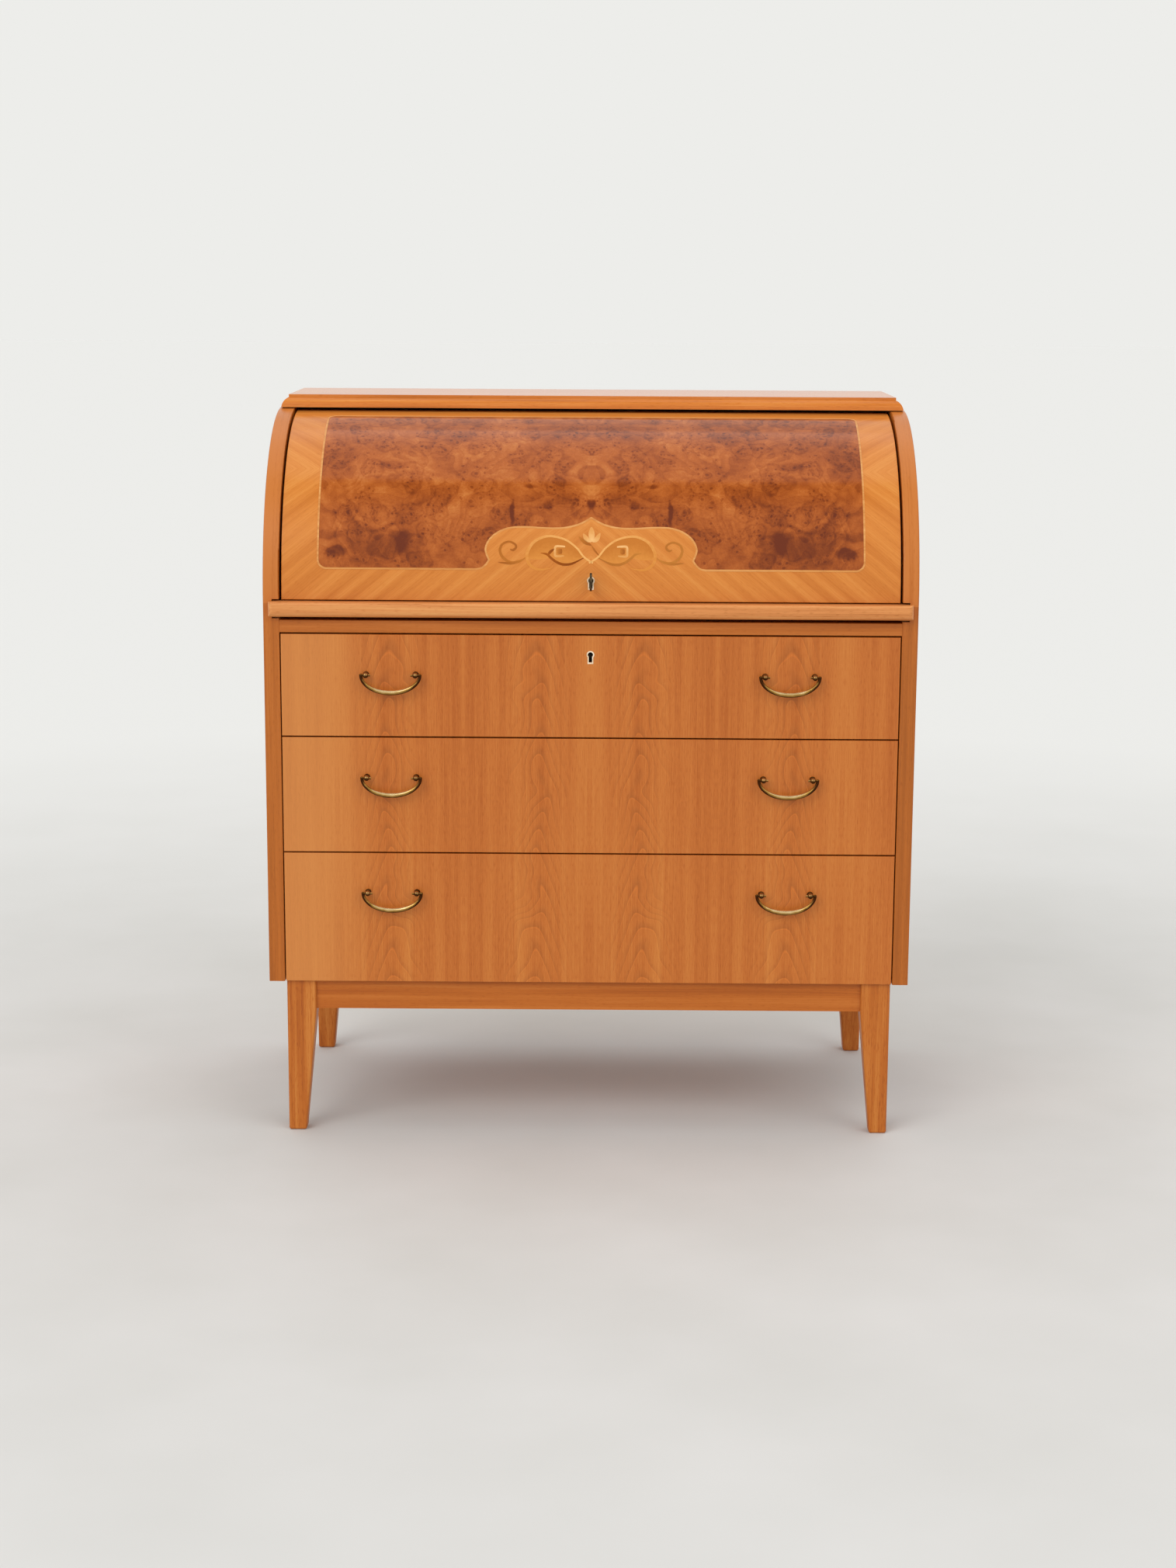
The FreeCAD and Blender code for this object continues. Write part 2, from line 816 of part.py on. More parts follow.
# Cylinder lock: a case let into the shell, its bolt that drops into the strike, and its key
key_end = lock_face + s.key_depth
lock_blank = board(
    "cylinder_lock_blank",
    (-s.lock_half_width, s.lock_half_width),
    (lock_face, lock_face + s.lock_thick),
    (lock_floor, lock_top),
)
bolt_top = bolt_low + s.bolt_length
bit_back = key_end - s.key_bit_length - s.bolt_fit
lock_rooms = (
    bolt_room("cylinder_lock_bolt_room", lock_floor - s.past, bolt_top + s.bolt_fit, bolt_y),
    rod("cylinder_lock_key_room", "y", s.key_shaft + s.running_fit, front, key_end + s.past, 0, key_z),
    rod("cylinder_lock_chamber", "y", s.key_chamber, bit_back, key_end + s.bolt_fit, 0, key_z),
)
keep(cut("cylinder_lock_case", lock_blank, *lock_rooms), "cylinder_lock_case")
keep(
    board(
        "cylinder_bolt",
        (-s.bolt_half_width, s.bolt_half_width),
        (bolt_y, bolt_y + s.bolt_thick),
        (bolt_low, bolt_top),
    ),
    "cylinder_bolt",
)
bow_y = front - s.key_reach + s.key_bow
bow = cut(
    "cylinder_key_bow",
    rod("cylinder_key_disc", "x", s.key_bow, -s.key_bow_thick / 2, s.key_bow_thick / 2, bow_y, key_z),
    rod("cylinder_key_eye", "x", s.key_bow_hole, -s.key_bow_thick, s.key_bow_thick, bow_y, key_z),
)
bow_root = bow_y + (s.key_bow + s.key_bow_hole) / 2
shaft = rod("cylinder_key_shaft", "y", s.key_shaft, bow_root, key_end, 0, key_z)
collar = rod("cylinder_key_collar", "y", s.key_collar, bow_root, front + s.shell_recess, 0, key_z)
bit = board(
    "cylinder_key_bit",
    (-s.key_bit_width / 2, s.key_bit_width / 2),
    (key_end - s.key_bit_length, key_end),
    (key_z - s.key_bit_drop, key_z),
)
keep(fused("cylinder_key", bow, shaft, collar, bit), "cylinder_key")

# Gallery behind the cylinder: a base between the sides, uprights, shelves, a top and a back
gallery_front = front + s.gallery_set_back
gallery_back = back_face - s.gallery_end_room - s.gallery_back_thick
gallery_floor = groove_top + s.gallery_lift
base_top = gallery_floor + s.gallery_base_thick
gallery_crown = gallery_floor + s.gallery_height
gallery_half = inner - s.gallery_inset
gallery_y = (gallery_front, gallery_back)
upright_z = (base_top, gallery_crown - s.gallery_board)
shelf_floor = base_top + s.small_opening
keep(
    board("gallery_base", (-inner, inner), gallery_y, (gallery_floor, base_top)),
    "gallery_base",
)
bay_near = s.gallery_bay + s.gallery_board
bay_far = gallery_half - s.gallery_board
uprights = []
shelves = []
for sign, hand in SIDES:
    inside = either_side(sign, s.gallery_bay, bay_near)
    outside = either_side(sign, bay_far, gallery_half)
    uprights.append(board("gallery_divider_" + hand, inside, gallery_y, upright_z))
    uprights.append(board("gallery_end_" + hand, outside, gallery_y, upright_z))
    shelf_z = (shelf_floor, shelf_floor + s.gallery_board)
    shelves.append(
        board("gallery_shelf_" + hand, either_side(sign, bay_near, bay_far), gallery_y, shelf_z)
    )
keep(group("gallery_uprights", uprights), "gallery_uprights")
keep(group("gallery_shelves", shelves), "gallery_shelves")
gallery_x = (-gallery_half, gallery_half)
crown_z = (gallery_crown - s.gallery_board, gallery_crown)
keep(board("gallery_top", gallery_x, gallery_y, crown_z), "gallery_top")
keep(
    board(
        "gallery_back",
        gallery_x,
        (gallery_back, gallery_back + s.gallery_back_thick),
        (base_top, gallery_crown),
    ),
    "gallery_back",
)

# Small drawers under the gallery's shelves, each a front, two walls, a back, a bottom and a knob
small_z = (base_top + s.small_gap, shelf_floor - s.small_gap)
small_wall_y = gallery_front + s.small_front_thick
small_back = gallery_back - s.small_end_room
small_x = (bay_near + s.small_gap, bay_far - s.small_gap)
small_inside = (small_x[0] + s.small_wall, small_x[1] - s.small_wall)
small_floor = small_z[0] + s.small_bottom
knob_x = (bay_near + bay_far) / 2
knob_z = (base_top + shelf_floor) / 2
for sign, hand in SIDES:
    name = "small_drawer_" + hand
    spans = {
        "front": (small_x, (gallery_front, small_wall_y), small_z),
        "wall_near": ((small_x[0], small_inside[0]), (small_wall_y, small_back), small_z),
        "wall_far": ((small_inside[1], small_x[1]), (small_wall_y, small_back), small_z),
        "back": (small_inside, (small_back - s.small_wall, small_back), (small_floor, small_z[1])),
        "bottom": (small_inside, (small_wall_y, small_back), (small_z[0], small_floor)),
    }
    solids = [
        board(f"{name}_{part}", either_side(sign, *x), y, z) for part, (x, y, z) in spans.items()
    ]
    knob_front = gallery_front - s.small_knob_reach
    head_y = knob_front + s.small_knob
    knob_place = (sign * knob_x, knob_z)
    neck = rod(name + "_neck", "y", s.small_knob_neck, head_y, gallery_front, *knob_place)
    head = ball(name + "_head", s.small_knob, sign * knob_x, head_y, knob_z)
    solids.append(fused(name + "_knob", neck, head))
    keep(group(name, solids), name)


def bail_shape():
    """A crescent on a half ellipse, thickest in the middle, with a pivot pin turned in at each end."""
    width = s.bail_half_width.number
    sag = s.bail_sag.number
    rings = []
    ring_count = 12
    for step in range(ring_count + 1):
        turn = math.pi * step / ring_count
        centre = FreeCAD.Vector(-width * math.cos(turn), 0, -sag * math.sin(turn))
        tangent = FreeCAD.Vector(width * math.sin(turn), 0, -sag * math.cos(turn))
        swell = s.bail_middle.number - s.bail_end.number
        radius = s.bail_end.number + swell * math.sin(turn) ** 2
        rings.append(Part.Wire([Part.Circle(centre, tangent, radius).toShape()]))
    crescent = Part.makeLoft(rings, True, False)
    spur = s.post_half_gap - s.post_head - s.bail_spur
    pin_length = (s.bail_half_width - spur).number
    ends = []
    for sign, hand in SIDES:
        knuckle = FreeCAD.Vector(sign * width, 0, 0)
        inwards = FreeCAD.Vector(-sign, 0, 0)
        ends.append(Part.makeSphere(s.bail_knuckle.number, knuckle))
        ends.append(Part.makeCylinder(s.bail_pin.number, pin_length, knuckle, inwards))
    return crescent.fuse(ends)


def in_front(edge, whole):
    """Whether an edge lies in the foremost face."""
    return edge.YMax < whole.YMin + TINY


# Drawers: a flush front, side-hung box walls with a groove for the runner, a back and a bottom
front_half = inner - s.drawer_end_gap
box_half = inner - s.box_inset
box_front = front + s.front_thick
box_back = back_face - s.box_end_room
drawer_lock_face = front + s.drawer_lock_seat
drawer_key_z = drawer_1_top - s.drawer_key_drop
bail_y = front - s.bail_stand_off
runners = []
for number in (1, 2, 3):
    name = f"drawer_{number}"
    floor = drawer_floors[number]
    top = floor + drawer_heights[number]
    box_floor = floor + s.box_lift
    box_top = top - s.box_drop
    runner_floor = box_floor + s.runner_rise
    runner_top = runner_floor + s.runner_height
    bottom_floor = box_floor + s.box_bottom_rise
    bottom_top = bottom_floor + s.box_bottom
    corners = [(-front_half, floor), (front_half, floor), (front_half, top), (-front_half, top)]
    face = eased(prism(name + "_face", "XZ_Plane", corners, front, box_front), s.front_ease, in_front)
    if number == 1:
        seat = board(
            name + "_lock_seat",
            (-lock_room, lock_room),
            (drawer_lock_face, box_front + s.past),
            (top - s.lock_height - s.lock_fit, top + s.past),
        )
        hole = keyhole(
            name + "_keyhole", as_size(0), front - s.past, drawer_lock_face + s.past, drawer_key_z
        )
        inlay = keyhole(
            name + "_inlay_seat",
            s.keyhole_band + s.running_fit,
            front - s.past,
            front + s.keyhole_inlay,
            drawer_key_z,
        )
        face = cut(name + "_front", face, seat, hole, inlay)
    keep(face, name + "_front")
    walls = []
    for sign, hand in SIDES:
        wall = board(
            f"{name}_wall_{hand}",
            either_side(sign, box_half - s.box_wall, box_half),
            (box_front, box_back),
            (box_floor, box_top),
        )
        runner_groove = board(
            f"{name}_runner_groove_{hand}",
            either_side(sign, box_half - s.runner_groove, box_half + s.past),
            (box_front - s.past, box_back + s.past),
            (runner_floor - s.runner_gap, runner_top + s.runner_gap),
        )
        bottom_groove = board(
            f"{name}_bottom_groove_{hand}",
            either_side(sign, box_half - s.box_wall - s.past, box_half - s.box_wall + s.box_bottom_groove),
            (box_front - s.past, box_back + s.past),
            (bottom_floor, bottom_top),
        )
        walls.append(cut(f"{name}_side_{hand}", wall, runner_groove, bottom_groove))
        runners.append(
            board(
                f"{name}_runner_{hand}",
                either_side(sign, box_half - s.runner_groove + s.runner_gap, inner),
                (box_front + s.bottom_set_back, back_face),
                (runner_floor, runner_top),
            )
        )
    keep(group(name + "_sides", walls), name + "_sides")
    inside = box_half - s.box_wall
    keep(
        board(
            name + "_back",
            (-inside, inside),
            (box_back - s.box_wall, box_back),
            (bottom_top, box_top - s.box_back_drop),
        ),
        name + "_back",
    )
    tray = inside + s.box_bottom_groove - s.board_fit
    keep(
        board(name + "_bottom", (-tray, tray), (box_front, box_back), (bottom_floor, bottom_top)),
        name + "_bottom",
    )
    post_z = top - s.handle_drop
    posts = []
    for sign, hand in SIDES:
        for side in (-1, 1):
            mark = f"{name}_post_{hand}_{'inner' if side == -sign else 'outer'}"
            x = sign * s.handle_offset + side * s.post_half_gap
            neck = rod(mark + "_neck", "y", s.post_neck, bail_y, front, x, post_z)
            foot = rod(mark + "_foot", "y", s.post_foot, front - s.post_foot_thick, front, x, post_z)
            head = ball(mark + "_head", s.post_head, x, bail_y, post_z)
            eye = rod(
                mark + "_eye",
                "x",
                s.bail_pin + s.running_fit,
                x - 2 * s.post_head,
                x + 2 * s.post_head,
                bail_y,
                post_z,
            )
            posts.append(cut(mark, fused(mark + "_blank", neck, foot, head), eye))
    keep(group(name + "_posts", posts), name + "_posts")
    for sign, hand in SIDES:
        bail = doc.addObject("Part::Feature", f"bail_{number}_{hand}")
        bail.Shape = bail_shape()
        keep(place(bail, sign * s.handle_offset, bail_y, post_z), f"bail_{number}_{hand}")
keep(group("drawer_runners", runners), "drawer_runners")

# Drawer lock: a case let into the back of the top drawer's front, a bolt and an inlaid escutcheon
drawer_lock_floor = drawer_1_top - s.lock_height
drawer_bolt_top = drawer_1_top - s.bolt_lift
drawer_lock_blank = board(
    "drawer_1_lock_blank",
    (-s.lock_half_width, s.lock_half_width),
    (drawer_lock_face, drawer_lock_face + s.lock_thick),
    (drawer_lock_floor, drawer_1_top - s.lock_fit),
)
drawer_bolt_room = bolt_room(
    "drawer_1_bolt_room",
    drawer_bolt_top - s.bolt_length - s.bolt_fit,
    drawer_1_top + s.past,
    drawer_bolt_y,
)
drawer_key_room = keyhole(
    "drawer_1_key_room", as_size(0), front, drawer_lock_face + s.key_depth, drawer_key_z
)
keep(cut("drawer_1_lock_case", drawer_lock_blank, drawer_bolt_room, drawer_key_room), "drawer_1_lock_case")
keep(
    board(
        "drawer_1_bolt",
        (-s.bolt_half_width, s.bolt_half_width),
        (drawer_bolt_y, drawer_bolt_y + s.bolt_thick),
        (drawer_bolt_top - s.bolt_length, drawer_bolt_top),
    ),
    "drawer_1_bolt",
)
drawer_ring = cut(
    "drawer_1_escutcheon",
    keyhole(
        "drawer_1_escutcheon_outer",
        s.keyhole_band,
        front - s.keyhole_proud,
        front + s.keyhole_inlay,
        drawer_key_z,
    ),
    keyhole(
        "drawer_1_escutcheon_inner",
        as_size(0),
        front - s.past,
        front + s.keyhole_inlay + s.past,
        drawer_key_z,
    ),
)
keep(drawer_ring, "drawer_1_escutcheon")

# Every object must have worked, and every piece must be a sound solid, before anything is written
doc.recompute()
for thing in doc.Objects:
    faults = {"Invalid", "Error"} & set(thing.State)
    if faults:
        raise RuntimeError(f"{thing.Label} is {faults}")
for piece in pieces:
    if piece.Shape.isNull() or not piece.Shape.isValid() or not piece.Shape.Solids:
        raise RuntimeError(f"{piece.Label} has no sound solid")

os.makedirs("parts", exist_ok=True)
for piece in pieces:
    piece.Shape.exportStep(f"parts/{piece.Label}.step")
print(len(pieces), "pieces,", sum(len(piece.Shape.Solids) for piece in pieces), "solids")
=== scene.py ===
import math

import bpy
import numpy as np
from mathutils import Matrix, Vector


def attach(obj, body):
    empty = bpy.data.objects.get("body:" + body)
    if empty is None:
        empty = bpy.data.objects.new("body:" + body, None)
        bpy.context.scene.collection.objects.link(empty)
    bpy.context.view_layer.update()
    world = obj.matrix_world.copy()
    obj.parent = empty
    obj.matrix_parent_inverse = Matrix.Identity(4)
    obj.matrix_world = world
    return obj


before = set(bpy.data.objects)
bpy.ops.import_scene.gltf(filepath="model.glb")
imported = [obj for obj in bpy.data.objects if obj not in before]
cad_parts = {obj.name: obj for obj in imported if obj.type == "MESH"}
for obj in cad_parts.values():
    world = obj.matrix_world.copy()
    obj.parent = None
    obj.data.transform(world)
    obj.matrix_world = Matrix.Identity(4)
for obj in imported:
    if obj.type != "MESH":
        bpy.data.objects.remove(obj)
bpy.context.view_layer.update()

# The base: four tapered legs of solid hardwood, aprons between them and braces across the corners,
# dowelled and glued into one stand. It is stained orange brown and lacquered, with the grain up the
# legs and along the aprons.


def linear(code):
    """A colour written in sRGB hex, as the linear colour that shaders take.

    By the standard curve, a dark channel is divided by 12.92 and a lighter one raised to a power of 2.4.
    """
    channels = [int(code[at : at + 2], 16) / 255 for at in (1, 3, 5)]
    return (*[c / 12.92 if c <= 0.04045 else ((c + 0.055) / 1.055) ** 2.4 for c in channels], 1.0)


def add(tree, kind, inputs=None, stops=(), **settings):
    """A node with its settings, its inputs as values, nodes or sockets, and a ramp's stops.

    A node given as an input lends its first output. A ramp's two end stops come first.
    """
    node = tree.nodes.new("ShaderNode" + kind)
    for name, value in settings.items():
        setattr(node, name, value)
    for key, value in (inputs or {}).items():
        if isinstance(value, bpy.types.Node):
            value = value.outputs[0]
        if isinstance(value, bpy.types.NodeSocket):
            tree.links.new(value, node.inputs[key])
        else:
            node.inputs[key].default_value = value
    for index, (position, code) in enumerate(stops):
        elements = node.color_ramp.elements
        element = elements[index] if index < 2 else elements.new(position)
        element.position = position
        element.color = linear(code)
    return node


def new_material(name):
    """An empty material and its node tree."""
    material = bpy.data.materials.new(name)
    material.use_nodes = True
    material.node_tree.nodes.clear()
    return material, material.node_tree


# Real fibres and pores are too fine to show here, so both are drawn several times as coarse.
# Each pair is a width and a length along the grain.
FIBRE_MM = (1.8, 110)
PORE_MM = (1.1, 9)
STREAK_STRETCH = 45
FIBRE_SHARE = 0.4
PORE_FROM = 0.6
PORE_FULL = 0.75
PORE_DARKER = 0.12


def grain(tree, place, streak_mm):
    """How light the wood is, about one half, from coordinates whose first axis runs along the grain.

    Broad streaks, plus fine fibres about their mean, less short pores; each is noise drawn out along
    the grain.
    """
    layers = []
    sizes = ((streak_mm, STREAK_STRETCH * streak_mm, 4), (*FIBRE_MM, 2), (*PORE_MM, 0))
    for across_mm, along_mm, detail in sizes:
        pitch = (1000 / along_mm, 1000 / across_mm, 1000 / across_mm)
        drawn = add(tree, "VectorMath", {0: place, 1: pitch}, operation="MULTIPLY")
        layers.append(add(tree, "TexNoise", {"Vector": drawn, "Scale": 1, "Detail": detail}))
    streaks, fibres, pores = layers
    fine = add(tree, "Math", {0: fibres, 1: FIBRE_SHARE, 2: streaks}, operation="MULTIPLY_ADD")
    mean = FIBRE_SHARE / 2
    pits = {"Value": pores, "From Min": PORE_FROM, "From Max": PORE_FULL}
    pits = add(tree, "MapRange", {**pits, "To Min": mean, "To Max": mean + PORE_DARKER})
    return add(tree, "Math", {0: fine, 1: pits}, operation="SUBTRACT")


RELIEF_MM = 0.2
RELIEF_SHARE = 0.2
SATIN = 0.3


def lacquer(tree, colour, relief, roughness, shine=SATIN):
    """A coated surface: its colour, its gloss, and a trace of relief that shows through the coat."""
    bump = {"Height": relief, "Strength": RELIEF_SHARE, "Distance": RELIEF_MM / 1000}
    coat = {"Base Color": colour, "Roughness": roughness, "Specular IOR Level": shine}
    coat = add(tree, "BsdfPrincipled", {**coat, "Normal": add(tree, "Bump", bump)})
    add(tree, "OutputMaterial", {"Surface": coat})


GRAIN_STOPS = (0.25, 0.75, 0.48)


def timber(name, along, colours, streak_mm=11, roughness=0.4):
    """Straight-grained wood under a coat, with its grain along one axis of the desk.

    Its dark, light and middle colours are laid out by how light the grain is at each point.
    """
    material, tree = new_material(name)
    parts = add(tree, "SeparateXYZ", {0: add(tree, "TexCoord").outputs["Object"]})
    place = add(tree, "CombineXYZ", {at: parts.outputs[(along + at) % 3] for at in range(3)})
    light = grain(tree, place, streak_mm)
    colour = add(tree, "ValToRGB", {"Fac": light}, stops=list(zip(GRAIN_STOPS, colours)))
    lacquer(tree, colour, light, roughness)
    return material


def dress(material, *names):
    """The named CAD pieces wear this material on all their faces."""
    for name in names:
        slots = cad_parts[name].data.materials
        slots.clear()
        slots.append(material)


# Planed and stained hardwood shows fine brown lines along the grain, under a soft, even sheen.
X, Y, Z = 0, 1, 2
HARDWOOD = ("#9E4E14", "#CE8238", "#BA6620")
legs = [f"leg_{end}_{hand}" for end in ("front", "back") for hand in ("left", "right")]
dress(timber("stained_hardwood_planed_upright", Z, HARDWOOD), *legs)
APRON = ("#A85616", "#C87630", "#BA651E")
aprons = timber("stained_hardwood_planed_lengthways", X, APRON)
dress(aprons, "apron_front", "apron_back", "corner_braces")
dress(timber("stained_hardwood_planed_endways", Y, APRON), "side_aprons")

# The case: veneered sides with upright grain, whose front edges bend back in a quarter circle with a
# band that follows the curve. The moulded top and the rail have their grain along them, and the back
# and the dust panel are plywood. Beech strips carry the slab and the drawers.
SHELL_MM = 251.0
ARC_Y_MM = 46.0
ARC_Z_MM = 757.0


def from_arc(tree):
    """The position, and how far it lies in front of the curve's centre and above it, in metres."""
    position = add(tree, "SeparateXYZ", {0: add(tree, "TexCoord").outputs["Object"]})
    depth = add(tree, "Math", {0: ARC_Y_MM / 1000, 1: position.outputs["Y"]}, operation="SUBTRACT")
    rise = add(tree, "Math", {0: position.outputs["Z"], 1: ARC_Z_MM / 1000}, operation="SUBTRACT")
    return position, depth, rise


def arc_length(tree, depth, rise):
    """The length up the curve, in metres: the shell's radius times the angle above the centre."""
    angle = add(tree, "Math", {0: rise, 1: depth}, operation="ARCTAN2")
    return add(tree, "Math", {0: angle, 1: SHELL_MM / 1000}, operation="MULTIPLY")


# Sliced veneer shows straight, close lines up the sides. On a front edge they turn with the curve, and
# that band, which faces up, is painted lighter than the straight edge below it: painted light from above.
CASE = ("#A25719", "#C57430", "#B56420")
CASE_STREAK_MM = 11
CASE_ROUGHNESS = 0.3
FLANK_LEAN = 0.5
EDGE_DARKER = 0.1
CURVE_PAINTED_LIGHT = 0.32
material, tree = new_material("sliced_veneer_upright_lacquered")
position, depth, rise = from_arc(tree)
length = arc_length(tree, depth, rise)
reach = add(tree, "CombineXYZ", {0: rise, 1: depth})
reach = add(tree, "VectorMath", {0: reach}, operation="LENGTH").outputs["Value"]
facing = add(tree, "SeparateXYZ", {0: add(tree, "TexCoord").outputs["Normal"]})
flank = add(tree, "Math", {0: facing.outputs["X"]}, operation="ABSOLUTE")
edge = add(tree, "Math", {0: flank, 1: FLANK_LEAN}, operation="LESS_THAN")
curve = add(tree, "Math", {0: rise, 1: 0.0}, operation="GREATER_THAN")
curve = add(tree, "Math", {0: edge, 1: curve}, operation="MULTIPLY")
along = add(tree, "Mix", {0: curve, 2: rise, 3: length})
inwards = add(tree, "Mix", {0: curve, 2: depth, 3: reach})
place = add(tree, "CombineXYZ", {0: along, 1: position.outputs["X"], 2: inwards})
light = grain(tree, place, CASE_STREAK_MM)
tone = add(tree, "Math", {0: edge, 1: -EDGE_DARKER, 2: light}, operation="MULTIPLY_ADD")
# The curve gets painted light.
tone = add(tree, "Math", {0: curve, 1: CURVE_PAINTED_LIGHT, 2: tone}, operation="MULTIPLY_ADD")
colour = add(tree, "ValToRGB", {"Fac": tone}, stops=list(zip(GRAIN_STOPS, CASE)))
lacquer(tree, colour, light, CASE_ROUGHNESS)
dress(material, "side_left", "side_right")
dress(timber("sliced_veneer_lengthways_lacquered", X, CASE), "front_rail", "bottom_board")

# The top is polished more than the rest, so it turns pale with reflected light at a low angle.
# Rotary-cut plywood is broadly figured and dull, and waxed beech is close-grained and nearly matt.
TOP = ("#B8661E", "#DC8E42", "#CE772C")
polished = timber("solid_top_moulded_and_polished", X, TOP, streak_mm=9, roughness=0.16)
dress(polished, "top_board")
PLYWOOD = ("#B98A56", "#D4AF7F", "#C99F6D")
PLYWOOD_FACE = {"streak_mm": 48, "roughness": 0.6}
dress(timber("birch_plywood_rotary_cut", Z, PLYWOOD, **PLYWOOD_FACE), "back_panel")
dress(timber("birch_plywood_rotary_cut_lengthways", X, PLYWOOD, **PLYWOOD_FACE), "dust_panel")
BEECH = ("#B88350", "#DDB584", "#CDA06C")
waxed = timber("waxed_beech_strip", Y, BEECH, streak_mm=6, roughness=0.5)
dress(waxed, "slide_bearers", "drawer_runners")

# The gallery: pigeonholes and two small drawers behind the cylinder, of thin boards in the case's
# own veneer, glued up to stand between the sides. It looks a shade lighter than the case, since
# little sun reaches it.
GALLERY = ("#A5622F", "#DBA065", "#C88548")
shelving = ["gallery_base", "gallery_shelves", "gallery_top", "gallery_back"]
shelving = shelving + ["small_drawer_left", "small_drawer_right"]
dress(timber("gallery_veneer_lengthways", X, GALLERY), *shelving)
dress(timber("gallery_veneer_upright", Z, GALLERY), "gallery_uprights")

# The writing slab: a veneered board that slides in grooves, with a solid lip along its front edge
# and a steel strike let into it for the cylinder's bolt. Both woods show long straight streaks, and
# the lip is the paler one, with a soft gloss along its round.
SLAB = ("#B0662C", "#D6945A", "#C67C42")
dress(timber("slab_veneer_lengthways_lacquered", X, SLAB), "writing_slab")
LIP = ("#B96F34", "#E4A260", "#D68A4C")
rounded = timber("solid_lip_moulded_and_lacquered", X, LIP, streak_mm=7, roughness=0.34)
dress(rounded, "slab_lip")
PATCH_STOPS = (0.35, 0.65)
DARK_DULLER = 0.12


def metal(name, colours, patch_mm, roughness):
    """Worn metal: patches of two tones, and a gloss that is duller where the tone is darker."""
    material, tree = new_material(name)
    place = add(tree, "TexCoord").outputs["Object"]
    patches = add(tree, "TexNoise", {"Vector": place, "Scale": 1000 / patch_mm, "Detail": 3})
    colour = add(tree, "ValToRGB", {"Fac": patches}, stops=list(zip(PATCH_STOPS, colours)))
    gloss = {"Value": patches, "From Min": PATCH_STOPS[0], "From Max": PATCH_STOPS[1]}
    gloss = add(tree, "MapRange", {**gloss, "To Min": roughness + DARK_DULLER, "To Max": roughness})
    worn = {"Base Color": colour, "Metallic": 1.0, "Roughness": gloss}
    add(tree, "OutputMaterial", {"Surface": add(tree, "BsdfPrincipled", worn)})
    return material


# Stamped steel, made dark and dull as painted shade for the keyholes, with a faint shine where it is
# worn.
DARKENED_STEEL = metal("stamped_steel_darkened_as_keyhole_shade", ("#2A2725", "#4E4A46"), patch_mm=9, roughness=0.42)
dress(DARKENED_STEEL, "strike_plate")

# The cylinder: a rigid shell bent to a quarter circle, with veneer laid slantwise in four quarters
# that meet on the middle line and on a mitre half-way up. It hangs on two arms of plain sawn wood,
# which turn on steel pins in the sides.
MITRE_MM = 198.0
STRIP_MM = 341.0
SLANT_DEG = 40.0
LEAF_MM = 74.0
LEAF_VARIES = 0.11
GOLDEN = ("#C06D23", "#E0994B", "#D28135")
GOLDEN_STOPS = (0.24, 0.9, 0.56)
GOLDEN_STREAK_MM = 13
GOLDEN_ROUGHNESS = 0.2
# Golden veneer shows leaves of slightly different tone side by side, and a gloss along the bend.
# The sawn arms are paler and dull.
slanted, tree = new_material("golden_veneer_laid_slantwise")
position, depth, rise = from_arc(tree)
length = arc_length(tree, depth, rise)
aside = add(tree, "Math", {0: position.outputs["X"]}, operation="ABSOLUTE")
above = add(tree, "Math", {0: length, 1: MITRE_MM / 1000}, operation="SUBTRACT")
folded = add(tree, "Math", {0: above}, operation="ABSOLUTE")
flat = add(tree, "CombineXYZ", {0: aside, 1: folded})
slant = add(tree, "Mapping", {"Vector": flat, "Rotation": (0.0, 0.0, math.radians(-SLANT_DEG))})
strip = add(tree, "Math", {0: length, 1: STRIP_MM / 1000}, operation="GREATER_THAN")
place = add(tree, "Mix", {0: strip, 4: slant, 5: flat}, data_type="VECTOR").outputs[1]
light = grain(tree, place, GOLDEN_STREAK_MM)
leaf = {0: add(tree, "SeparateXYZ", {0: place}).outputs["Y"], 1: 1000 / LEAF_MM}
leaf = add(tree, "Math", {0: add(tree, "Math", leaf, operation="MULTIPLY")}, operation="FLOOR")
leaf = add(tree, "TexWhiteNoise", {"W": leaf}, noise_dimensions="1D")
light = add(tree, "Math", {0: leaf, 1: LEAF_VARIES, 2: light}, operation="MULTIPLY_ADD")
colour = add(tree, "ValToRGB", {"Fac": light}, stops=list(zip(GOLDEN_STOPS, GOLDEN)))
lacquer(tree, colour, light, GOLDEN_ROUGHNESS)
dress(slanted, "cylinder_shell")
sawn = timber("plain_hardwood_sawn_arm", Z, BEECH, streak_mm=9, roughness=0.5)
dress(sawn, "cylinder_arm_left", "cylinder_arm_right")
dress(DARKENED_STEEL, "cylinder_lock_case", "cylinder_bolt", "cylinder_pivot_pins")

# The burl panel: one big leaf of burl opened like a book about the middle line, let into the shell.
# Its places are given flat: across from the middle line, and along the curve from its foot.
PANEL_HALF_MM = 375.0
PANEL_LOW_MM = 48.0
PANEL_HIGH_MM = 336.0
PANEL_CORNER_MM = 12.0
PANEL_LIFT_MM = 0.15
PANEL_COLUMNS = 161
PANEL_ROWS = 97
VENEER_MM = 0.6
SEAM_MM = 0.01


def on_shell(across, along, lift):
    """Points of the shell from their flat places, in millimetres, lifted off the surface, in metres.

    The angle is the length along the curve over the shell's radius. From the curve's centre a point
    lies forward by the lifted radius times the angle's cosine, and up by that radius times its sine.
    """
    angle = along / SHELL_MM
    radius = SHELL_MM + lift
    y = ARC_Y_MM - radius * np.cos(angle)
    z = ARC_Z_MM + radius * np.sin(angle)
    return np.stack([np.broadcast_to(across, angle.shape), y, z], axis=-1) / 1000


